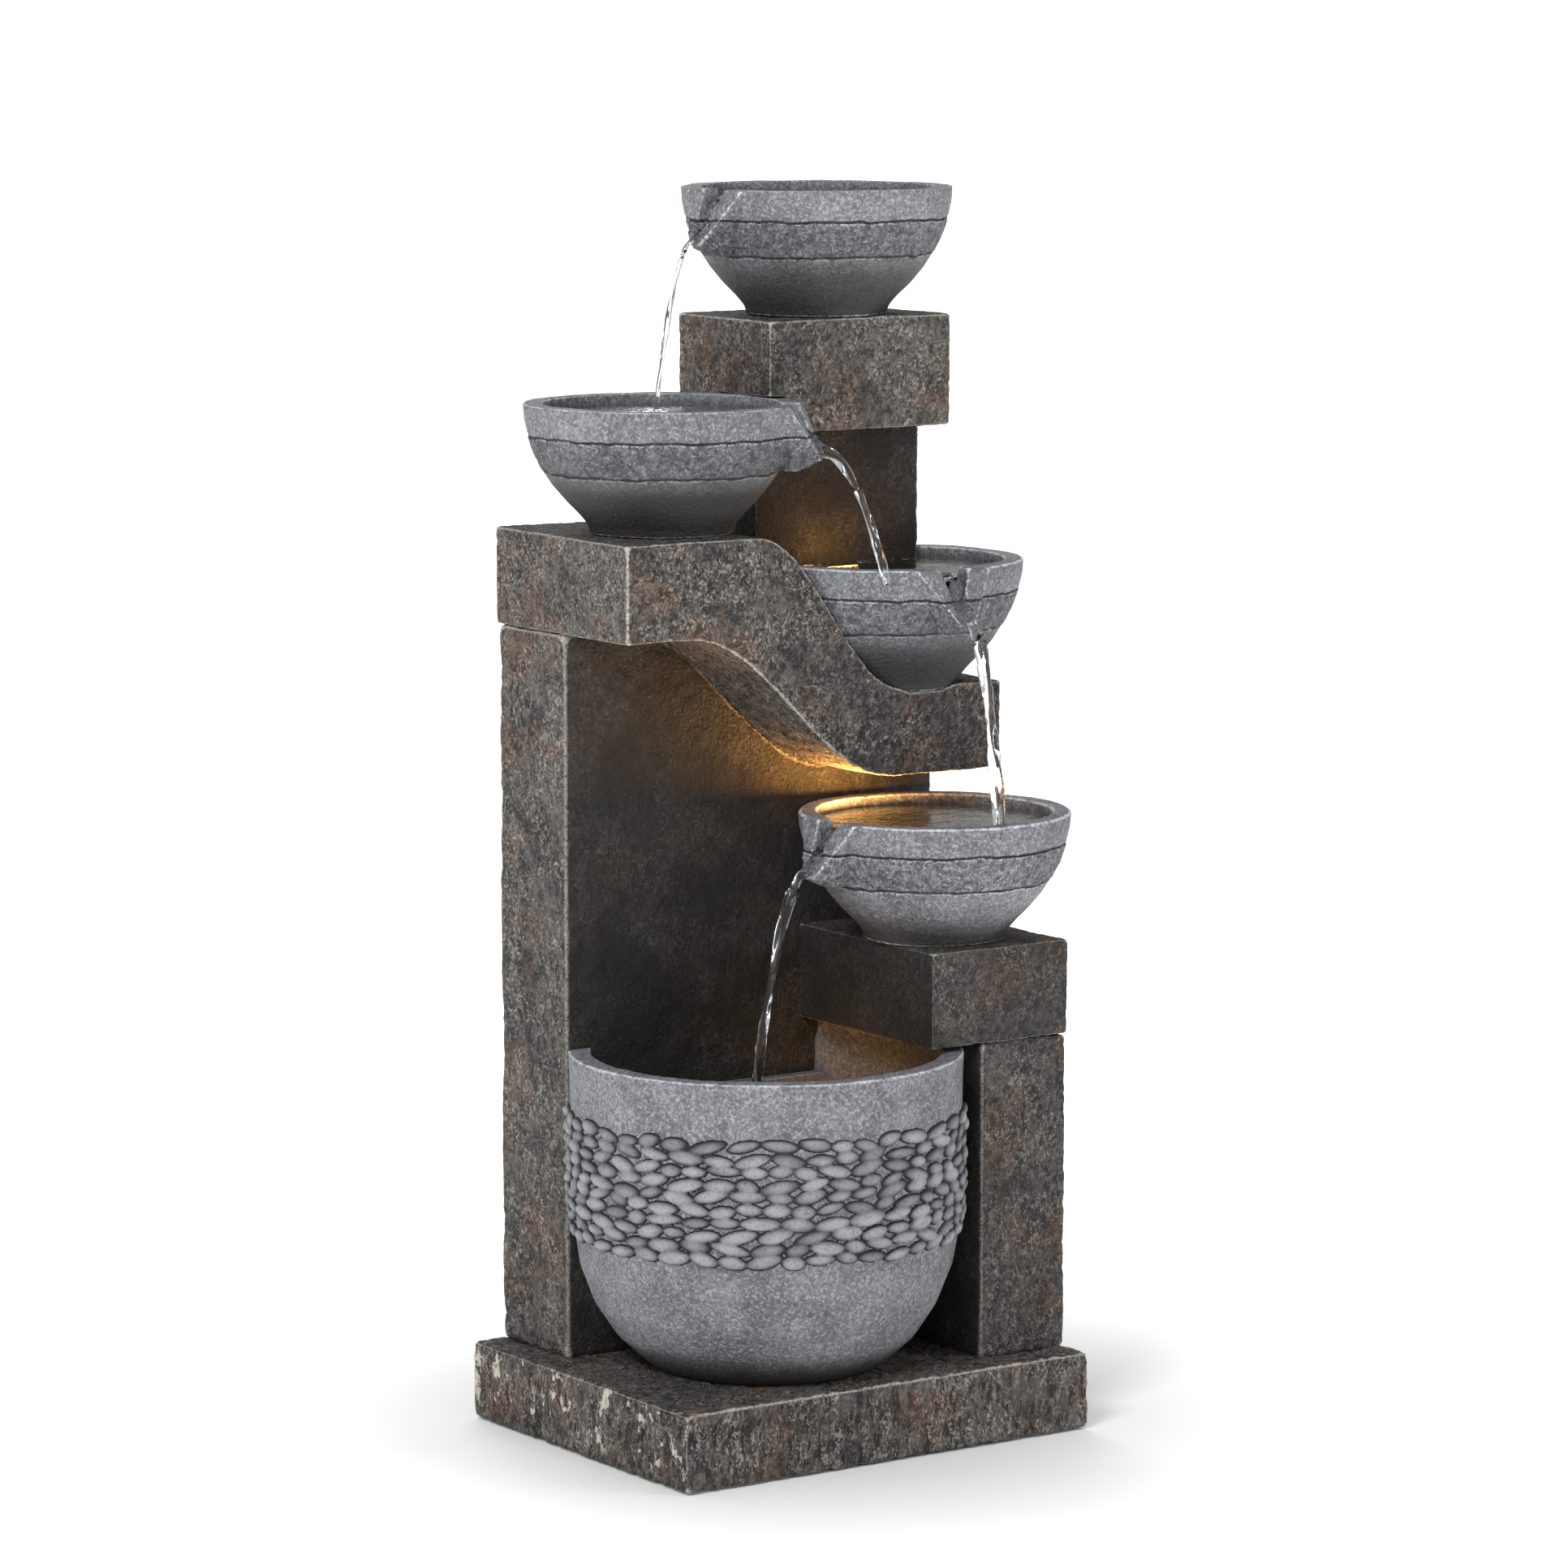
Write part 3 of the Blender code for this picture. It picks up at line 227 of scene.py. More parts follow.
greyLook = {
    "ground": tone(108, 109, 114),
    "groundTwo": tone(126, 128, 134),
    # light grey of the dry brushing, also of the painted highlights under the scribed lines and on the pebble
    # crowns
    "light": tone(200, 202, 208),
    # a dark wash in the pits and dents, also the colour of the painted shade
    "washAndShade": tone(40, 38, 38),
    # colour of the painted shade in the scribed lines and between the pebbles
    "gap": tone(10, 9, 9),
    "edges": tone(226, 228, 233),
    # sizes of the marks, in metres
    "cloudSize": 0.040, "peelSize": 0.0038, "fineSize": 0.0024,
    "veinSize": 0.0088, "veinWidth": 0.026, "dentSize": 0.0065,
    "lineWobble": 0.0060, "washAndShadeWobble": 0.022,
    # how strongly each mark covers
    "pitShare": 0.42, "peakShare": 0.36, "dentShare": 0.60, "veinShare": 0.85,
    "lineShare": 0.88, "lineLightShare": 0.55, "washAndShadeShare": 0.93,
    "wornShare": 0.80, "deepShare": 0.70, "insideShare": 0.60,
    "bump": 0.0030,
    "roughness": 0.72,
}


def greyStone(name, look, lines=(), hammered=None, washAndShadeFrom=None, washAndShadeTo=None):
    # lines: depths of the scribed lines, hammered: band of rougher skin, both below the rim
    mat, tree, shader = newPaint(name, look["roughness"])
    where = ownPlace(tree)
    down = stored(tree, "down")
    clouds = grain(tree, where, look["cloudSize"], 3.0, 0.55)
    peel = grain(tree, where, look["peelSize"], 1.0, 0.50, 0.8)
    fine = grain(tree, where, look["fineSize"], 2.0, 0.60)
    colour = mixTone(tree, smoothStep(tree, clouds, 0.36, 0.64), look["ground"], look["groundTwo"])
    pits = calc(tree, "MAXIMUM", smoothStep(tree, peel, 0.46, 0.34), smoothStep(tree, fine, 0.46, 0.34))
    colour = mixTone(tree, times(tree, pits, look["pitShare"]), colour, look["washAndShade"])
    peaks = times(tree, smoothStep(tree, fine, 0.50, 0.62), smoothStep(tree, peel, 0.44, 0.54))
    colour = mixTone(tree, times(tree, peaks, look["peakShare"]), colour, look["light"])
    height = calc(tree, "ADD", times(tree, fine, 0.35), times(tree, peel, 0.45))
    if hammered:
        ring = times(tree, smoothStep(tree, down, hammered[0], hammered[0] + 0.001),
                    smoothStep(tree, down, hammered[1], hammered[1] + 0.001, 1.0, 0.0))
        veins = threads(tree, ownPlace(tree, (1, 1, 0.8)), look["veinSize"], look["veinWidth"])
        dents = grain(tree, where, look["dentSize"], 3.0, 0.6, 0.5)
        dark = times(tree, ring, smoothStep(tree, dents, 0.56, 0.40))
        colour = mixTone(tree, times(tree, dark, look["dentShare"]), colour, look["washAndShade"])
        bright = times(tree, times(tree, ring, veins), smoothStep(tree, fine, 0.40, 0.54))
        colour = mixTone(tree, times(tree, bright, look["veinShare"]), colour, look["light"])
        rough = calc(tree, "ADD", times(tree, veins, 0.3), times(tree, dents, 1.2))
        height = calc(tree, "ADD", height, times(tree, ring, rough))
    for depth in lines:
        sway = calc(tree, "SUBTRACT", grain(tree, where, 0.022, 3.0, 0.6), 0.5)
        wobble = times(tree, sway, look["lineWobble"])
        gap = calc(tree, "SUBTRACT", calc(tree, "ADD", down, wobble), depth)
        cut = smoothStep(tree, calc(tree, "ABSOLUTE", gap), 0.0003, 0.0011, 1.0, 0.0)
        # the scribed line darkened: painted shade in the groove
        colour = mixTone(tree, times(tree, cut, look["lineShare"]), colour, look["gap"])
        # a thin painted highlight just under each line, on the groove's lower lip
        under = calc(tree, "ABSOLUTE", calc(tree, "SUBTRACT", gap, 0.0017))
        lit = times(tree, smoothStep(tree, under, 0.0002, 0.0008, 1.0, 0.0), smoothStep(tree, peel, 0.44, 0.56))
        colour = mixTone(tree, times(tree, lit, look["lineLightShare"]), colour, look["light"])
        height = calc(tree, "SUBTRACT", height, times(tree, cut, 0.8))
    if washAndShadeFrom is not None:
        # darker towards the foot: painted shade on the downward-facing lower part, with a dark wash
        sway = calc(tree, "SUBTRACT", grain(tree, where, 0.020, 3.0), 0.5)
        edge = calc(tree, "ADD", down, times(tree, sway, look["washAndShadeWobble"]))
        washAndShade = smoothStep(tree, edge, washAndShadeFrom, washAndShadeTo)
        colour = mixTone(tree, times(tree, washAndShade, look["washAndShadeShare"]), colour, look["washAndShade"])
    # painted shade from the stored shade values, set per bowl and on one side of the basin
    colour = mixTone(tree, stored(tree, "shade"), colour, look["washAndShade"])
    rubbed = times(tree, smoothStep(tree, stored(tree, "worn"), 0.48, 0.86),
                  smoothStep(tree, fine, 0.36, 0.50, 0.40, 1.0))
    colour = mixTone(tree, times(tree, rubbed, look["wornShare"]), colour, look["edges"])
    # painted shade in inner corners
    deep = smoothStep(tree, stored(tree, "worn"), -0.25, -1.0)
    colour = mixTone(tree, times(tree, deep, look["deepShare"]), colour, look["washAndShade"])
    # painted shade inside the bowls and the basin, below the rim
    colour = mixTone(tree, times(tree, stored(tree, "inside"), look["insideShare"]), colour, look["washAndShade"])
    tree.links.new(colour, shader.inputs["Base Color"])
    bumps(tree, shader, height, look["bump"])
    return mat


# turning a CAD solid into a rounded, worn casting

def link(piece):
    scene.collection.objects.link(piece)
    return piece


def startCasting(node, voxel, soften):
    # a closed copy of the node with even small faces and rounded edges
    form = bmesh.new()
    form.from_mesh(frame["nodes"][node].data)
    bmesh.ops.remove_doubles(form, verts=form.verts, dist=0.00001)
    mesh = bpy.data.meshes.new(node + "_cast")
    form.to_mesh(mesh)
    form.free()
    rough = link(bpy.data.objects.new(node + "_rough", mesh))
    skin = rough.modifiers.new("skin", "REMESH")
    skin.mode = "VOXEL"
    skin.voxel_size = voxel * coarse
    skin.use_smooth_shade = True
    round_ = rough.modifiers.new("round", "SMOOTH")
    round_.factor = 0.5
    round_.iterations = soften
    bpy.context.view_layer.update()
    graph = bpy.context.evaluated_depsgraph_get()
    made = bpy.data.meshes.new_from_object(rough.evaluated_get(graph))
    made.name = node + "_cast"
    bpy.data.objects.remove(rough)
    made.materials.clear()
    return link(bpy.data.objects.new(node + "_cast", made))


def shell(name, points, faces, weld=0.0):
    # a smooth closed mesh whose faces all point outward
    mesh = bpy.data.meshes.new(name)
    mesh.from_pydata(points, [], faces)
    form = bmesh.new()
    form.from_mesh(mesh)
    if weld:
        bmesh.ops.remove_doubles(form, verts=form.verts, dist=weld)
    bmesh.ops.recalc_face_normals(form, faces=form.faces)
    form.to_mesh(mesh)
    form.free()
    mesh.shade_smooth()
    return mesh


def pointsOf(mesh):
    points = np.empty(len(mesh.vertices) * 3, np.float32)
    mesh.vertices.foreach_get("co", points)
    facing = np.empty(len(mesh.vertices) * 3, np.float32)
    mesh.vertices.foreach_get("normal", facing)
    return points.reshape(-1, 3).astype(float), facing.reshape(-1, 3).astype(float)


def edgeAmount(mesh, points, facing, voxel, rounds=3):
    # how far each point stands out of its smoothed surroundings: 1 on an edge, -1 in an inner corner
    pairs = np.empty(len(mesh.edges) * 2, np.int32)
    mesh.edges.foreach_get("vertices", pairs)
    pairs = pairs.reshape(-1, 2)
    count = np.bincount(pairs.ravel(), minlength=len(points)).clip(1)[:, None]
    smooth = points.copy()
    for _ in range(rounds):
        total = np.zeros_like(smooth)
        for axis in range(3):
            total[:, axis] = (np.bincount(pairs[:, 0], smooth[pairs[:, 1], axis], len(points))
                              + np.bincount(pairs[:, 1], smooth[pairs[:, 0], axis], len(points)))
        smooth = 0.3 * smooth + 0.7 * total / count
    return np.clip(((points - smooth) * facing).sum(1) / (0.34 * voxel * coarse), -1.5, 1.5)


def field(points, size, octaves=2, shift=0.0, stretch=(1, 1, 1)):
    # noise at each point, about -1 to 1, with features of this size in metres
    scaled = points * (np.array(stretch) / size) + shift
    return np.array([noise.fractal(p, 1.0, 2.1, octaves) for p in scaled.tolist()])


def keepValues(mesh, **values):
    for name, numbers in values.items():
        layer = mesh.attributes.new(name, "FLOAT", "POINT")
        layer.data.foreach_set("value", np.asarray(numbers, np.float32))


def setPoints(mesh, points):
    mesh.vertices.foreach_set("co", points.astype(np.float32).ravel())
    mesh.update()


def finishCasting(piece, node, material, body="root"):
    piece.data.materials.append(material)
    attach(piece, body)
    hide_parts(node)


def slopeOut(points, facing, centre):
    # distance from the upright axis, and how far the surface faces away from it
    x, y = points[:, 0] - centre.x, points[:, 1] - centre.y
    away = np.hypot(x, y)
    return away, (facing[:, 0] * x + facing[:, 1] * y) / away.clip(0.001)


def ramp(value, low, high):
    share = np.clip((value - low) / (high - low), 0, 1)
    return share * share * (3 - 2 * share)


# the dark castings

castings = {
    # size of the small faces, rounds of softening, wave height, relief height, relief size and stretch
    "plinth": {"voxel": 0.0024, "soften": 2, "wave": 0.0009, "relief": 0.0013, "size": 0.011,
               "stretch": (1, 1, 0.45)},
    "tower_back": {"voxel": 0.0038, "soften": 2, "wave": 0.0012, "relief": 0.0009, "size": 0.012,
                   "stretch": (1, 1, 0.7)},
    "side_pillar": {"voxel": 0.0024, "soften": 2, "wave": 0.0010, "relief": 0.0007, "size": 0.010,
                    "stretch": (1, 1, 0.7)},
    "lower_ledge": {"voxel": 0.0021, "soften": 2, "wave": 0.0009, "relief": 0.0005, "size": 0.010,
                    "stretch": (1, 1, 1)},
    "s_ledge": {"voxel": 0.0024, "soften": 2, "wave": 0.0009, "relief": 0.0005, "size": 0.010,
                "stretch": (1, 1, 1)},
    "upper_column": {"voxel": 0.0024, "soften": 2, "wave": 0.0008, "relief": 0.0006, "size": 0.009,
                     "stretch": (1, 1, 0.7)},
    "top_ledge": {"voxel": 0.0021, "soften": 2, "wave": 0.0009, "relief": 0.0005, "size": 0.010,
                  "stretch": (1, 1, 1)},
    "rear_door": {"voxel": 0.0022, "soften": 2, "wave": 0.0000, "relief": 0.0003, "size": 0.010,
                  "stretch": (1, 1, 0.7)},
}

# how dark the painted shade is on each side of a casting: left, front, top, under
sootLook = {
    "plinth": (0.00, 0.00, 0.10, 0.90),
    "tower_back": (0.00, 0.98, 0.30, 0.60),
    "side_pillar": (0.94, 0.34, 0.40, 0.60),
    "lower_ledge": (0.98, 0.52, 0.50, 0.80),
    "s_ledge": (0.00, 0.08, 0.20, 0.20),
    "upper_column": (0.98, 0.98, 0.60, 0.60),
    "top_ledge": (0.00, 0.14, 0.25, 0.85),
    "rear_door": (0.10, 0.10, 0.10, 0.10),
}

stoneDark = darkStone("dark_stone", darkLook, (1, 1, 0.75))
stonePlinth = darkStone("plinth_stone", darkLook, (1, 1, 0.38), chips=0.9)
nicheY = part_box("side_pillar")[1].y


def sootOn(node, points, facing):
    left, front, top, under = sootLook[node]
    made = left * ramp(-facing[:, 0], 0.4, 0.8)
    made = made + front * ramp(-facing[:, 1], 0.4, 0.8)
    made = made + top * ramp(facing[:, 2], 0.5, 0.9) + under * ramp(-facing[:, 2], 0.5, 0.9)
    # more painted shade towards the right on the niche wall and on the S ledge's front
    if node == "tower_back":
        made = made + 0.16 * ramp(-facing[:, 1], 0.4, 0.8) * ramp(points[:, 0], 0.00, 0.10)
    if node == "s_ledge":
        made = made + 0.20 * ramp(-facing[:, 1], 0.4, 0.8) * ramp(points[:, 0], -0.06, 0.08)
    return np.clip(made, 0, 0.95)


for node, look in castings.items():
    piece = startCasting(node, look["voxel"], look["soften"])
    mesh = piece.data
    points, facing = pointsOf(mesh)
    edge = edgeAmount(mesh, points, facing, look["voxel"])
    wave = field(points, 0.060, 2, 3.1)
    skin = field(points, look["size"], 3, 9.7, look["stretch"])
    ridge = 1.0 - 2.2 * np.abs(skin)                      # sharp crests, wide hollows
    push = look["wave"] * wave + look["relief"] * (ridge - 0.35)
    if node == "tower_back":
        # the wall behind the basin is coarser, like split slate
        wall = ramp(-facing[:, 1], 0.6, 0.9) * ramp(points[:, 1], nicheY + 0.012, nicheY + 0.004)
        slate = field(points, 0.024, 3, 21.3, (1, 1, 0.8))
        push = push + wall * 0.0012 * (np.abs(slate) * 2.2 - 0.5)
    # the painted shade is stored on the points with the relief and the worn edges
    keepValues(mesh, relief=np.clip(ridge, -1, 1), worn=edge, soot=sootOn(node, points, facing))
    if node == "plinth":
        left = ramp(-facing[:, 0], 0.5, 0.9) * ramp(points[:, 2], 0.006, 0.020)
        keepValues(mesh, chips=left)
    setPoints(mesh, points + facing * (push * (1 - 0.7 * ramp(-edge, 0.1, 0.9)))[:, None])
    body = "door" if node == "rear_door" else "root"
    finishCasting(piece, node, stonePlinth if node == "plinth" else stoneDark, body)
    print("casting", node, len(mesh.vertices), "points")

# the bowls

bowlLook = {
    "voxel": 0.0020,
    "soften": 2,
    "lines": (0.0250, 0.0540),        # scribed lines below the rim
    "wave": 0.0006,
    "hammer": 0.0008,
    "radius": 0.1106,
    "rim": 0.0160,
    # painted shade on the middle band and on the lower part, set per bowl
    "shade": {"bowl_1": (0.30, 0.82), "bowl_2": (0.42, 1.00), "bowl_3": (0.20, 0.88), "bowl_4": (0.00, 0.00)},
}
bowlAxes = {"bowl_1": 186.0, "bowl_2": -43.0, "bowl_3": -96.0, "bowl_4": 183.0}


def bowlCentre(name):
    # the spout isn't in the round part, so the centre comes from the foot
    low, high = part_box(name)
    foot = np.array([v.co[:] for v in frame["nodes"][name].data.vertices])
    foot = foot[foot[:, 2] < low.z + 0.002]
    left, right = foot[:, 0].min(), foot[:, 0].max()
    front, back = foot[:, 1].min(), foot[:, 1].max()
    return Vector(((left + right) / 2, (front + back) / 2, high.z))


bowlPlaces = {name: bowlCentre(name) for name in bowlAxes}
stoneBowl = greyStone("bowl_stone", greyLook, bowlLook["lines"], bowlLook["lines"], 0.066, 0.100)

for name, centre in bowlPlaces.items():
    piece = startCasting(name, bowlLook["voxel"], bowlLook["soften"])
    mesh = piece.data
    points, facing = pointsOf(mesh)
    edge = edgeAmount(mesh, points, facing, bowlLook["voxel"])
    down = centre.z - points[:, 2]
    away, outward = slopeOut(points, facing, centre)
    wall = (outward < -0.05) & (away < bowlLook["radius"])
    floor = (away < 0.050) & (facing[:, 2] > 0.5)
    inside = np.where(wall | floor, 1.0, 0.0) * ramp(down, 0.002, 0.012)
    first, second = bowlLook["lines"]
    ring = ramp(down, first, first + 0.002) * ramp(down, second + 0.002, second) * (1 - inside)
    wave = field(points, 0.045, 2, 5.0 + centre.z)
    hammer = field(points, 0.0085, 2, 7.0 + centre.z)
    push = bowlLook["wave"] * wave + bowlLook["hammer"] * ring * (1.0 - 2.5 * np.abs(hammer))
    for depth in bowlLook["lines"]:
        push = push - 0.0007 * np.exp(-((down - depth) / 0.0011) ** 2) * (1 - inside)
    setPoints(mesh, points + facing * push[:, None])
    middle, lower = bowlLook["shade"][name]
    shade = middle * ramp(down, 0.018, 0.040) + (lower - middle) * ramp(down, 0.046, 0.074)
    keepValues(mesh, down=down, inside=inside, worn=edge, shade=shade)
    finishCasting(piece, name, stoneBowl)
    print("bowl", name, len(mesh.vertices), "points")

# the basin and its belt of pebbles

basinLook = {
    "voxel": 0.0026,
    "soften": 3,
    "radius": 0.1590,
    "wall": 0.0180,
    "wave": 0.0007,
    "side": [(1.000, 0.00), (0.992, 0.08), (0.990, 0.45), (0.978, 0.55), (0.943, 0.68),
             (0.870, 0.80), (0.765, 0.90), (0.650, 0.97), (0.590, 1.00)],
    "beltFrom": 0.0450, "beltTo": 0.1460,         # below the rim
    "pebble": (0.0142, 0.0056),                   # half length, half height
    "pebbleProud": 0.0066,
    "rows": 10,
}
basinLow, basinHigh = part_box("basin")
basinCentre = Vector((basinLow.x + basinLook["radius"], basinLow.y + basinLook["radius"], basinHigh.z))
basinTall = basinHigh.z - basinLow.z
stoneBasin = greyStone("basin_stone", greyLook, (), None, 0.215, 0.250)

piece = startCasting("basin", basinLook["voxel"], basinLook["soften"])
mesh = piece.data
points, facing = pointsOf(mesh)
edge = edgeAmount(mesh, points, facing, basinLook["voxel"])
down = basinCentre.z - points[:, 2]
away, outward = slopeOut(points, facing, basinCentre)
inside = np.where(outward < -0.05, 1.0, 0.0) * ramp(down, 0.002, 0.015)
setPoints(mesh, points + facing * (basinLook["wave"] * field(points, 0.055, 2, 1.7))[:, None])
side = np.degrees(np.arctan2(points[:, 1] - basinCentre.y, points[:, 0] - basinCentre.x)) % 360
# painted shade on one side of the basin, between 290 and 330 degrees round its axis
shade = 0.20 * ramp(side, 290, 330)
keepValues(mesh, down=down, inside=inside, worn=edge, shade=shade)
finishCasting(piece, "basin", stoneBasin)
print("basin", len(mesh.vertices), "points")


def basinRadius(depth):
    # outer radius at a depth below the rim
    levels = [d * basinTall for _, d in basinLook["side"]]
    sizes = [r * basinLook["radius"] for r, _ in basinLook["side"]]
    return np.interp(depth, levels, sizes)


def pebbleBelt():
    # flat stones in staggered rows, each a lozenge with its own size, tilt and height
    rng = np.random.default_rng(11)
    top, bottom = basinLook["beltFrom"], basinLook["beltTo"]
    step = 0.0014 * coarse
    radius = basinLook["radius"]
    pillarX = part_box("side_pillar")[0].x
    first = math.pi - math.asin(min(1, (nicheY - basinCentre.y - 0.001) / radius))
    last = 2 * math.pi - math.acos((pillarX - basinCentre.x - 0.001) / radius)
    turns = np.arange(first, last, step / radius)
    depths = np.arange(top - 0.004, bottom + 0.004, step)
    turn, depth = np.meshgrid(turns, depths)
    along = turn * radius
    halfLong, halfTall = basinLook["pebble"]
    rowTall = (bottom - top) / basinLook["rows"]
    height = np.zeros_like(turn)
    for row in range(basinLook["rows"]):
        spot = first * radius - halfLong * rng.uniform(0, 2)
        while spot < last * radius + halfLong:
            long = halfLong * rng.uniform(0.72, 1.28)
            tall = halfTall * rng.uniform(0.86, 1.22)
            x = spot + long * 0.9
            z = top + (row + 0.5) * rowTall + rng.uniform(-0.0016, 0.0016)
            spot += long * 1.78
            tilt = rng.uniform(-0.26, 0.26)
            proud = basinLook["pebbleProud"] * rng.uniform(0.66, 1.05)
            lean = rng.uniform(-0.30, 0.30)
            near = (np.abs(along - x) < long * 1.2) & (np.abs(depth - z) < long * 0.8)
            u, v = along[near] - x, depth[near] - z
            a = (u * math.cos(tilt) + v * math.sin(tilt)) / long
            b = (-u * math.sin(tilt) + v * math.cos(tilt)) / tall
            round_ = np.abs(a) ** 1.75 + np.abs(b) ** 2.1
            dome = proud * (1 - round_).clip(0) ** 0.42 * (1 + lean * b)
            height[near] = np.maximum(height[near], dome)
    fade = ramp(depth, top - 0.004, top) * ramp(depth, bottom + 0.004, bottom)
    reach = basinRadius(depth) - 0.0014 + height * fade
    x = basinCentre.x + reach * np.cos(turn)
    y = basinCentre.y + reach * np.sin(turn)
    z = basinCentre.z - depth
    outer = np.stack([x, y, z], -1).reshape(-1, 3)
    sunk = basinRadius(depth) - 0.0060
    x = basinCentre.x + sunk * np.cos(turn)
    y = basinCentre.y + sunk * np.sin(turn)
    inner = np.stack([x, y, z], -1).reshape(-1, 3)
    tallCount, longCount = turn.shape
    index = np.arange(tallCount * longCount).reshape(tallCount, longCount)
    quads = np.stack([index[:-1, :-1], index[1:, :-1], index[1:, 1:], index[:-1, 1:]], -1).reshape(-1, 4)
    back = quads[:, ::-1] + len(outer)
    rim = np.concatenate([index[0, :], index[1:, -1], index[-1, -2::-1], index[-2:0:-1, 0]])
    after = np.roll(rim, -1)
    sides = np.stack([rim, after, after + len(outer), rim + len(outer)], -1)
    mesh = shell("pebble_belt", np.concatenate([outer, inner]).tolist(),
                 np.concatenate([quads, back, sides]).tolist())
    stand = np.concatenate([(height * fade).ravel() / basinLook["pebbleProud"], np.zeros(len(inner))])
    keepValues(mesh, stand=stand)
    return link(bpy.data.objects.new("pebble_belt", mesh))


def pebbleStone(look):
    mat, tree, shader = newPaint("pebble_stone", 0.66)
    where = ownPlace(tree)
    stand = stored(tree, "stand")
    fine = grain(tree, where, 0.0022, 2.0, 0.65)
    clouds = grain(tree, where, 0.016, 3.0, 0.5)
    colour = mixTone(tree, smoothStep(tree, clouds, 0.36, 0.64), look["ground"], look["groundTwo"])
    colour = mixTone(tree, times(tree, smoothStep(tree, fine, 0.46, 0.34), 0.45), colour, look["washAndShade"])
    # the crown of each pebble lighter: painted highlight
    top = times(tree, smoothStep(tree, stand, 0.60, 0.95), smoothStep(tree, fine, 0.30, 0.56, 0.6, 1.0))
    colour = mixTone(tree, times(tree, top, 0.30), colour, look["light"])
    # darker between the pebbles: painted shade
    colour = mixTone(tree, smoothStep(tree, stand, 0.70, 0.34), colour, look["gap"])
    tree.links.new(colour, shader.inputs["Base Color"])
    bumps(tree, shader, fine, 0.0004)
    return mat


belt = pebbleBelt()
belt.data.materials.append(pebbleStone(greyLook))
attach(belt, "root")
print("pebble belt", len(belt.data.vertices), "points")

# water: the streams and the pools, shown as running

waterLook = {
    "pool": 0.0085,                  # pool surface below the rim of a bowl
    "basinPool": 0.0560,
    "poolRadius": 0.0940,            # of a bowl's pool
    "sheet": 0.0040,                 # thickness of a pool
    "clear": 0.0135,                 # from the basin's pool to the pillar and the niche wall
    "channel": (0.0110, 0.0240, 0.0410),     # its floor below the rim: inner side, outer side, tip
    "reach": 0.1286,
    # per stream: landing distance past the spout, start and end half width, twist per metre
    "streams": {
        "bowl_1": (0.0410, 0.0020, 0.0017, 90.0),
        "bowl_2": (0.0530, 0.0040, 0.0026, 75.0),
        "bowl_3": (0.0530, 0.0042, 0.0046, 60.0),
        "bowl_4": (0.0580, 0.0036, 0.0030, 55.0),
    },
}


def waterPaint():
    mat, tree, shader = newPaint("water", 0.03)
    shader.inputs["Base Color"].default_value = (0.97, 0.985, 1.0, 1.0)
    shader.inputs["IOR"].default_value = 1.333
    shader.inputs["Transmission Weight"].default_value = 1.0
    ripple = grain(tree, ownPlace(tree, (1, 1, 0.35)), 0.006, 2.0)
    bumps(tree, shader, ripple, 0.0006)
    return mat


def tubeAlong(name, route, halves, twist, seed):
    # a closed strand with two lobes that wind round each other
    rng = np.random.default_rng(seed)
    around = 18
    rings, faces = [], []
    length = 0.0
    for i, here in enumerate(route):
        before, after = route[max(0, i - 1)], route[min(len(route) - 1, i + 1)]
        length += (here - before).length
        along = (after - before).normalized()
        side = along.cross(Vector((0, 0, 1)) if abs(along.z) < 0.9 else Vector((0, 1, 0))).normalized()
        other = along.cross(side)
        wobble = 1 + 0.16 * noise.noise(Vector((length * 70, seed, 0))) + 0.03 * rng.uniform(-1, 1)
        for k in range(around):
            turn = 2 * math.pi * k / around
            wind = twist * length
            lobe = 1 + 0.30 * math.cos(2 * turn + wind) + 0.10 * math.cos(3 * turn - 1.7 * wind)
            off = halves[i] * wobble * lobe
            rings.append(here + (side * math.cos(turn) + other * math.sin(turn)) * off)
    for i in range(len(route) - 1):
        for k in range(around):
            nextK = (k + 1) % around
            faces.append((i * around + k, i * around + nextK, (i + 1) * around + nextK, (i + 1) * around + k))
    faces.append(tuple(range(around - 1, -1, -1)))
    faces.append(tuple((len(route) - 1) * around + k for k in range(around)))
    return link(bpy.data.objects.new(name, shell(name, [tuple(p) for p in rings], faces)))


waterMat = waterPaint()
poolLevels = {name: centre.z - waterLook["pool"] for name, centre in bowlPlaces.items()}
poolLevels["basin"] = basinCentre.z - waterLook["basinPool"]
following = {"bowl_1": "bowl_2", "bowl_2": "bowl_3", "bowl_3": "bowl_4", "bowl_4": "basin"}
landings = {}
for number, (name, (ahead, startHalf, endHalf, twist)) in enumerate(waterLook["streams"].items()):
    centre = bowlPlaces[name]
    heading = Vector((math.cos(math.radians(bowlAxes[name])), math.sin(math.radians(bowlAxes[name])), 0))
    radius, reach = bowlLook["radius"], waterLook["reach"]
    route, halves = [], []
    for i in range(7):                                   # along the channel to the lip
        share = i / 6
        away = radius - 0.022 + (reach + 0.022 - radius) * share
        floor = np.interp(away, (radius - bowlLook["rim"], radius, reach), waterLook["channel"])
        route.append(centre + heading * away + Vector((0, 0, -floor + 0.0010 + startHalf * 0.75)))
        halves.append(startHalf * (1.05 - 0.05 * share))
    lip = route[-1].copy()
    drop = lip.z - poolLevels[following[name]] + 0.0015
    count = max(12, int(drop / 0.0035))
    for i in range(1, count + 1):
        fall = i / count
        route.append(lip + heading * (ahead * math.sqrt(fall)) - Vector((0, 0, drop * fall)))
        halves.append(startHalf + (endHalf - startHalf) * fall)
    landings[following[name]] = route[-1]
    stream = tubeAlong("stream_" + str(number + 1), route, halves, twist, 3 + number)
    stream.data.materials.append(waterMat)
    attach(stream, "root")
print("streams done")


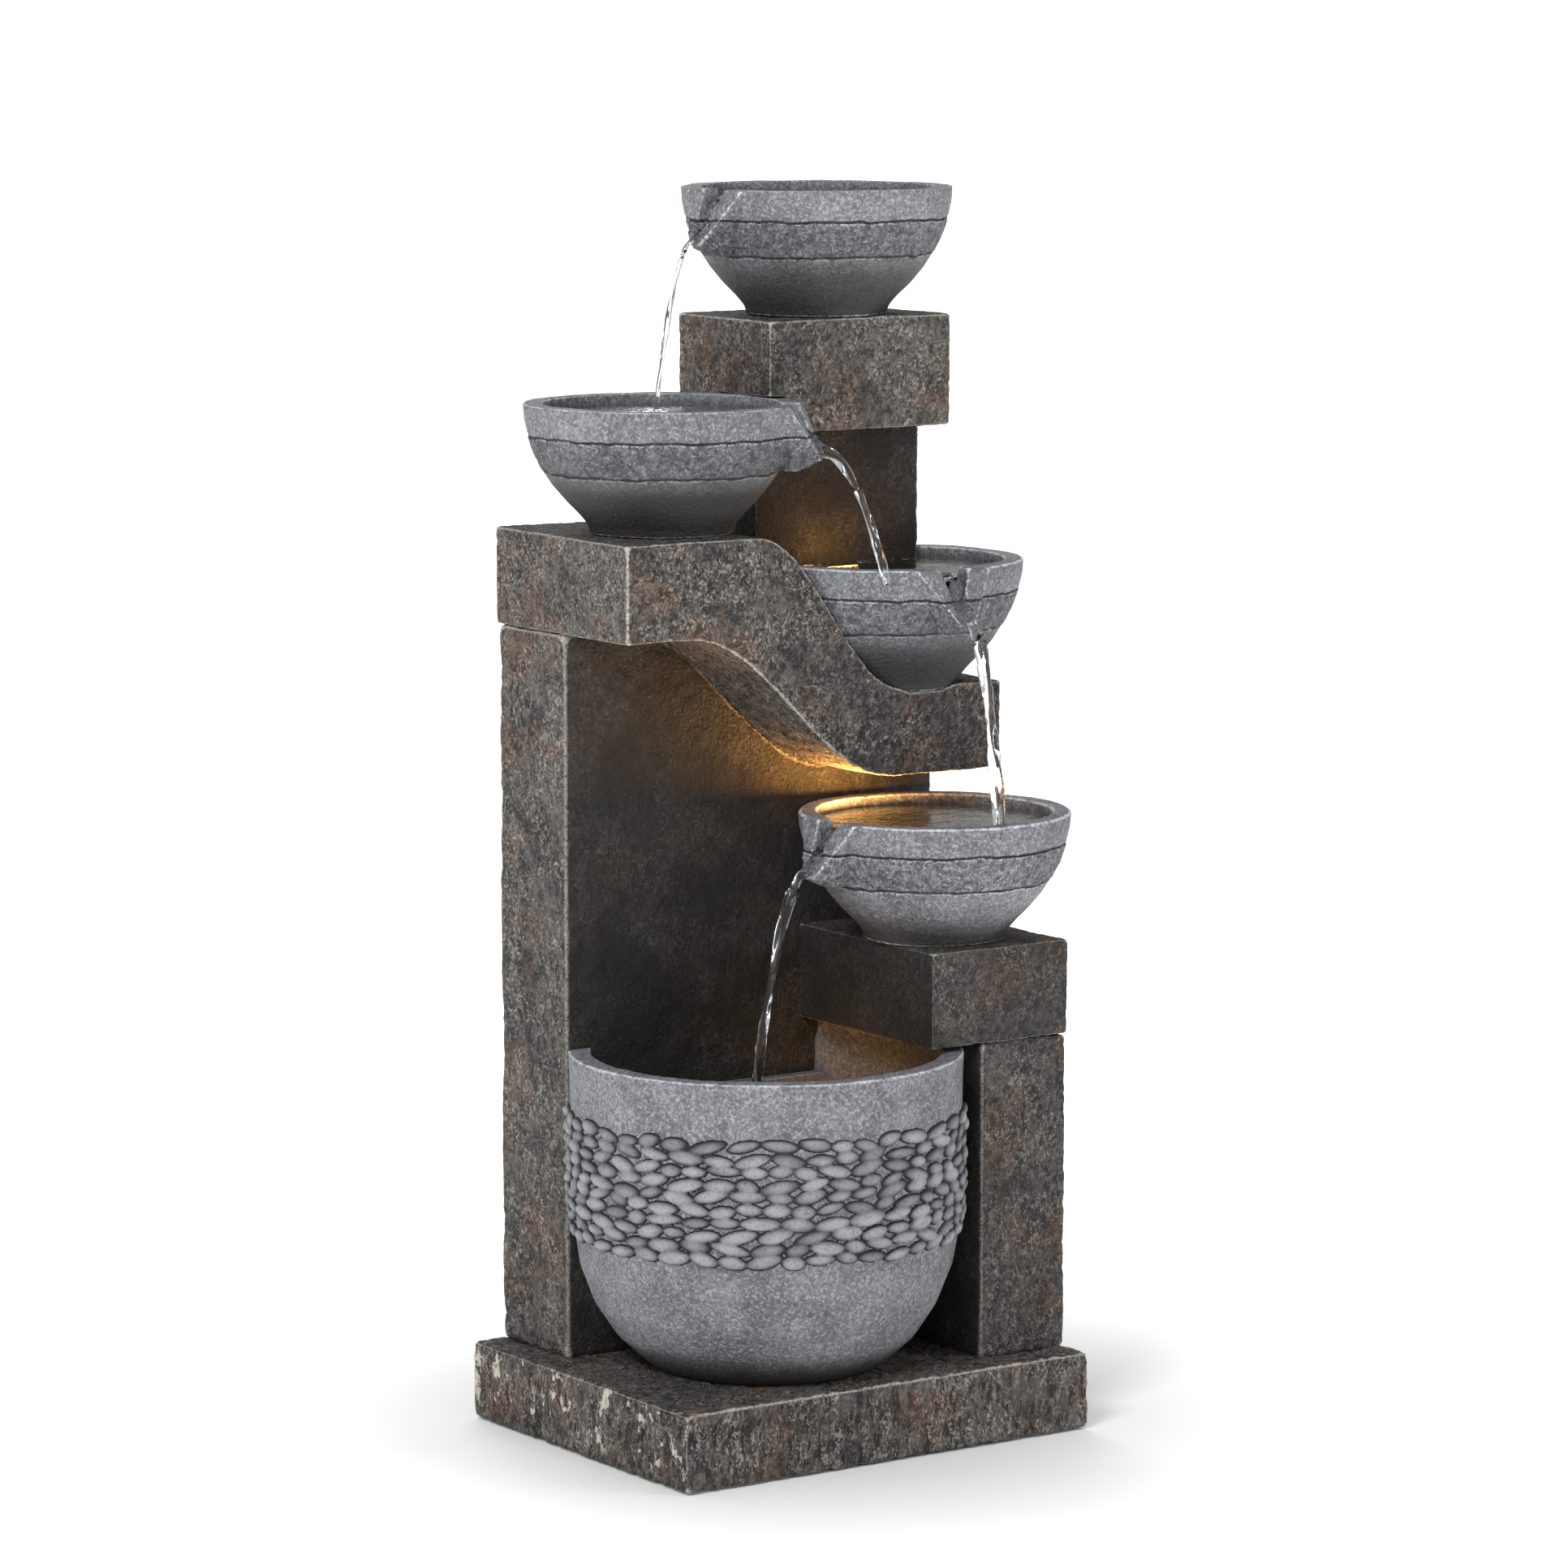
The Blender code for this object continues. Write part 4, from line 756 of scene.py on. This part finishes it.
def pool(name, centre, radius, level, low, high, landing):
    # a disc of water inside the wall, kept within a box in plan, with rings where the stream lands
    steps, rounds = 96, 40
    points, faces = [], []
    for j in range(rounds + 1):
        for i in range(steps):
            turn = 2 * math.pi * i / steps
            x = centre.x + radius * j / rounds * math.cos(turn)
            y = centre.y + radius * j / rounds * math.sin(turn)
            x, y = min(max(x, low[0]), high[0]), min(max(y, low[1]), high[1])
            far = math.hypot(x - landing.x, y - landing.y) if landing is not None else 1.0   # 1 m: no rings
            z = 0.0009 * math.exp(-far / 0.022) * math.cos(far * 620)
            z += 0.0004 * noise.noise(Vector((x * 60, y * 60, level)))
            points.append((x, y, level + z))
    under = len(points)
    points += [(x, y, level - waterLook["sheet"]) for x, y, z in points]
    for j in range(rounds):
        for i in range(steps):
            k = (i + 1) % steps
            a, b, c, d = j * steps + i, j * steps + k, (j + 1) * steps + k, (j + 1) * steps + i
            faces.append((a, b, c, d))
            faces.append((under + d, under + c, under + b, under + a))
    for i in range(steps):
        k = (i + 1) % steps
        a, b = rounds * steps + i, rounds * steps + k
        faces.append((a, b, under + b, under + a))
    made = link(bpy.data.objects.new(name, shell(name, points, faces, weld=0.00005)))
    made.data.materials.append(waterMat)
    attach(made, "root")


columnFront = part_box("upper_column")[0].y
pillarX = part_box("side_pillar")[0].x
for name, centre in bowlPlaces.items():
    high = (1, columnFront - 0.001) if name == "bowl_3" else (1, 1)      # the column stands in bowl 3
    pool(name + "_water", centre, waterLook["poolRadius"], poolLevels[name], (-1, -1), high, landings.get(name))
pool("basin_water", basinCentre, basinLook["radius"] - basinLook["wall"] - 0.002, poolLevels["basin"],
     (-1, -1), (pillarX - waterLook["clear"], nicheY - waterLook["clear"]), landings["basin"])
print("pools done")

# plastics, rubber and metal on the small parts

partLooks = {
    "black_plastic": {"colour": tone(28, 28, 30), "other": tone(40, 40, 42),
                      "rough": (0.36, 0.55), "size": 0.0009, "bump": 0.00010, "metal": 0.0},
    "rubber": {"colour": tone(26, 26, 26), "other": tone(42, 41, 40),
               "rough": (0.70, 0.90), "size": 0.0016, "bump": 0.00016, "metal": 0.0},
    "hose": {"colour": tone(58, 60, 62), "other": tone(72, 74, 76),
             "rough": (0.32, 0.50), "size": 0.0030, "bump": 0.00010, "metal": 0.0},
    "white_plastic": {"colour": tone(214, 214, 210), "other": tone(196, 196, 190),
                      "rough": (0.34, 0.52), "size": 0.0012, "bump": 0.00008, "metal": 0.0},
    "steel": {"colour": tone(168, 168, 166), "other": tone(140, 140, 138),
              "rough": (0.24, 0.42), "size": 0.0010, "bump": 0.00006, "metal": 1.0},
}


def partPaint(name, look):
    mat, tree, shader = newPaint(name, 0.5, look["metal"])
    where = ownPlace(tree, (1, 1, 6) if name == "steel" else (1, 1, 1))
    small = grain(tree, where, look["size"], 2.0, 0.6)
    large = grain(tree, where, 0.020, 3.0, 0.5)
    tree.links.new(mixTone(tree, smoothStep(tree, large, 0.35, 0.65), look["colour"], look["other"]),
                   shader.inputs["Base Color"])
    tree.links.new(smoothStep(tree, small, 0.3, 0.7, *look["rough"]), shader.inputs["Roughness"])
    bumps(tree, shader, small, look["bump"])
    return mat


def lensPaint():
    mat, tree, shader = newPaint("lamp_lens", 0.15)
    shader.inputs["Emission Color"].default_value = (1.0, 0.52, 0.16, 1.0)
    rings = grain(tree, ownPlace(tree), 0.0030, 1.0)
    tree.links.new(mixTone(tree, smoothStep(tree, rings, 0.3, 0.7), tone(255, 214, 150), tone(255, 190, 110)),
                   shader.inputs["Base Color"])
    tree.links.new(smoothStep(tree, rings, 0.3, 0.7, 5.0, 8.0), shader.inputs["Emission Strength"])
    return mat


paints = {name: partPaint(name, look) for name, look in partLooks.items()}
paints["lens"] = lensPaint()
paints["dark_casting"] = stoneDark
paints["grey_casting"] = stoneBowl
slots = {row["node"]: row["material_slot"] for row in frame["record"]["subparts"]}
for node, shown in frame["nodes"].items():
    if not shown.hide_render:
        paint = paints[slots[node]]
        for place in shown.material_slots:
            place.material = paint
print("small parts painted")

# amber lamps under water

lampLook = {
    "colour": (1.0, 0.47, 0.11),
    "above": 0.004,                  # light source over the pool, so that the water doesn't stop it
    "lamp_1_lens": {"pool": "bowl_3", "power": 0.075, "shift": (0, 0, 0),
                    "aim": (0.000, 0.050, 0.100), "size": 0.03},
    "lamp_2_lens": {"pool": "bowl_4", "power": 1.10, "shift": (-0.012, 0.030, 0),
                    "aim": (0.000, 0.010, 0.100), "size": 0.03},
    "lamp_3_lens": {"pool": "basin", "power": 0.05, "shift": (0, 0, 0),
                    "aim": (0.060, 0.020, 0.100), "size": 0.04},
}


def addLamp(name, kind, where, target, power, colour, size=None):
    data = bpy.data.lights.new(name, kind)
    data.energy = power
    data.color = colour
    if kind == "AREA":
        data.shape = "RECTANGLE"
        data.size, data.size_y = size
    made = link(bpy.data.objects.new(name, data))
    made.location = where
    made.rotation_euler = (Vector(target) - Vector(where)).to_track_quat("-Z", "Y").to_euler()
    return made


for node, look in lampLook.items():
    if isinstance(look, dict):
        low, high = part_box(node)
        spot = Vector(((low.x + high.x) / 2, (low.y + high.y) / 2, poolLevels[look["pool"]] + lampLook["above"]))
        spot += Vector(look["shift"])
        addLamp("glow_" + node[:6], "AREA", spot, spot + Vector(look["aim"]), look["power"], lampLook["colour"],
                (look["size"], look["size"]))

# floor, studio light and camera

stageLook = {
    "floor": tone(246, 246, 246),
    "floorSize": 40.0,
    "whiteFrom": 0.10, "whiteTo": 0.90,
    "sky": 0.46,                     # light from the white room
    "key": {"where": (-2.3, -1.5, 2.5), "power": 60.0, "size": (1.1, 1.1)},
    "fill": {"where": (2.0, -2.6, 1.7), "power": 22.0, "size": (1.2, 1.6)},
    "back": {"where": (0.9, 2.4, 2.3), "power": 24.0, "size": (1.6, 1.2)},
    "aim": (0.0, 0.0, 0.55),
}


def makeFloor():
    size = stageLook["floorSize"]
    mesh = bpy.data.meshes.new("floor")
    corners = [(-size, -size, 0), (size, -size, 0), (size, size, 0), (-size, size, 0)]
    mesh.from_pydata(corners, [], [(0, 1, 2, 3)])
    floor = link(bpy.data.objects.new("floor", mesh))
    mat, tree, shader = newPaint("pale_floor", 0.85)
    shade = grain(tree, ownPlace(tree), 0.5, 2.0)
    white = stageLook["floor"]
    dimmer = (*(0.985 * c for c in white[:3]), 1.0)
    tree.links.new(mixTone(tree, shade, white, dimmer), shader.inputs["Base Color"])
    # the floor runs out to plain white away from the object
    away = addNode(tree, "VectorMath", {0: ownPlace(tree)}, operation="LENGTH").outputs["Value"]
    shader.inputs["Emission Color"].default_value = (1, 1, 1, 1)
    glow = smoothStep(tree, away, stageLook["whiteFrom"], stageLook["whiteTo"])
    tree.links.new(glow, shader.inputs["Emission Strength"])
    mesh.materials.append(mat)
    floor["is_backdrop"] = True


def makeRoom():
    world = bpy.data.worlds.new("studio")
    world.use_nodes = True
    tree = world.node_tree
    ground = tree.nodes["Background"]
    ground.inputs["Color"].default_value = (1, 1, 1, 1)
    seen = tree.nodes.new("ShaderNodeLightPath").outputs["Is Camera Ray"]
    level = tree.nodes.new("ShaderNodeMapRange")
    level.inputs["To Min"].default_value = stageLook["sky"]
    level.inputs["To Max"].default_value = 1.0
    tree.links.new(seen, level.inputs["Value"])
    tree.links.new(level.outputs["Result"], ground.inputs["Strength"])
    scene.world = world


cameraLook = {"distance": 5.034, "turn": 34.42, "tilt": 7.95, "aim": (-0.0135, -0.0038, 0.5261), "lens": 143.8}


def makeCamera():
    look = cameraLook
    data = bpy.data.cameras.new("camera")
    data.lens = look["lens"]
    data.sensor_width = 36.0
    data.clip_start, data.clip_end = 0.1, 200.0
    made = link(bpy.data.objects.new("camera", data))
    turn, tilt = math.radians(look["turn"]), math.radians(look["tilt"])
    ahead = Vector((math.sin(turn) * math.cos(tilt), math.cos(turn) * math.cos(tilt), -math.sin(tilt)))
    made.location = Vector(look["aim"]) - ahead * look["distance"]
    made.rotation_euler = (math.pi / 2 - tilt, 0, -turn)
    scene.camera = made


makeFloor()
makeRoom()
for name in ("key", "fill", "back"):
    light = stageLook[name]
    addLamp("soft_" + name, "AREA", light["where"], stageLook["aim"], light["power"], (1, 1, 1), light["size"])
makeCamera()
scene.view_settings.view_transform = "Standard"
print("stage done")

low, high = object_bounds()
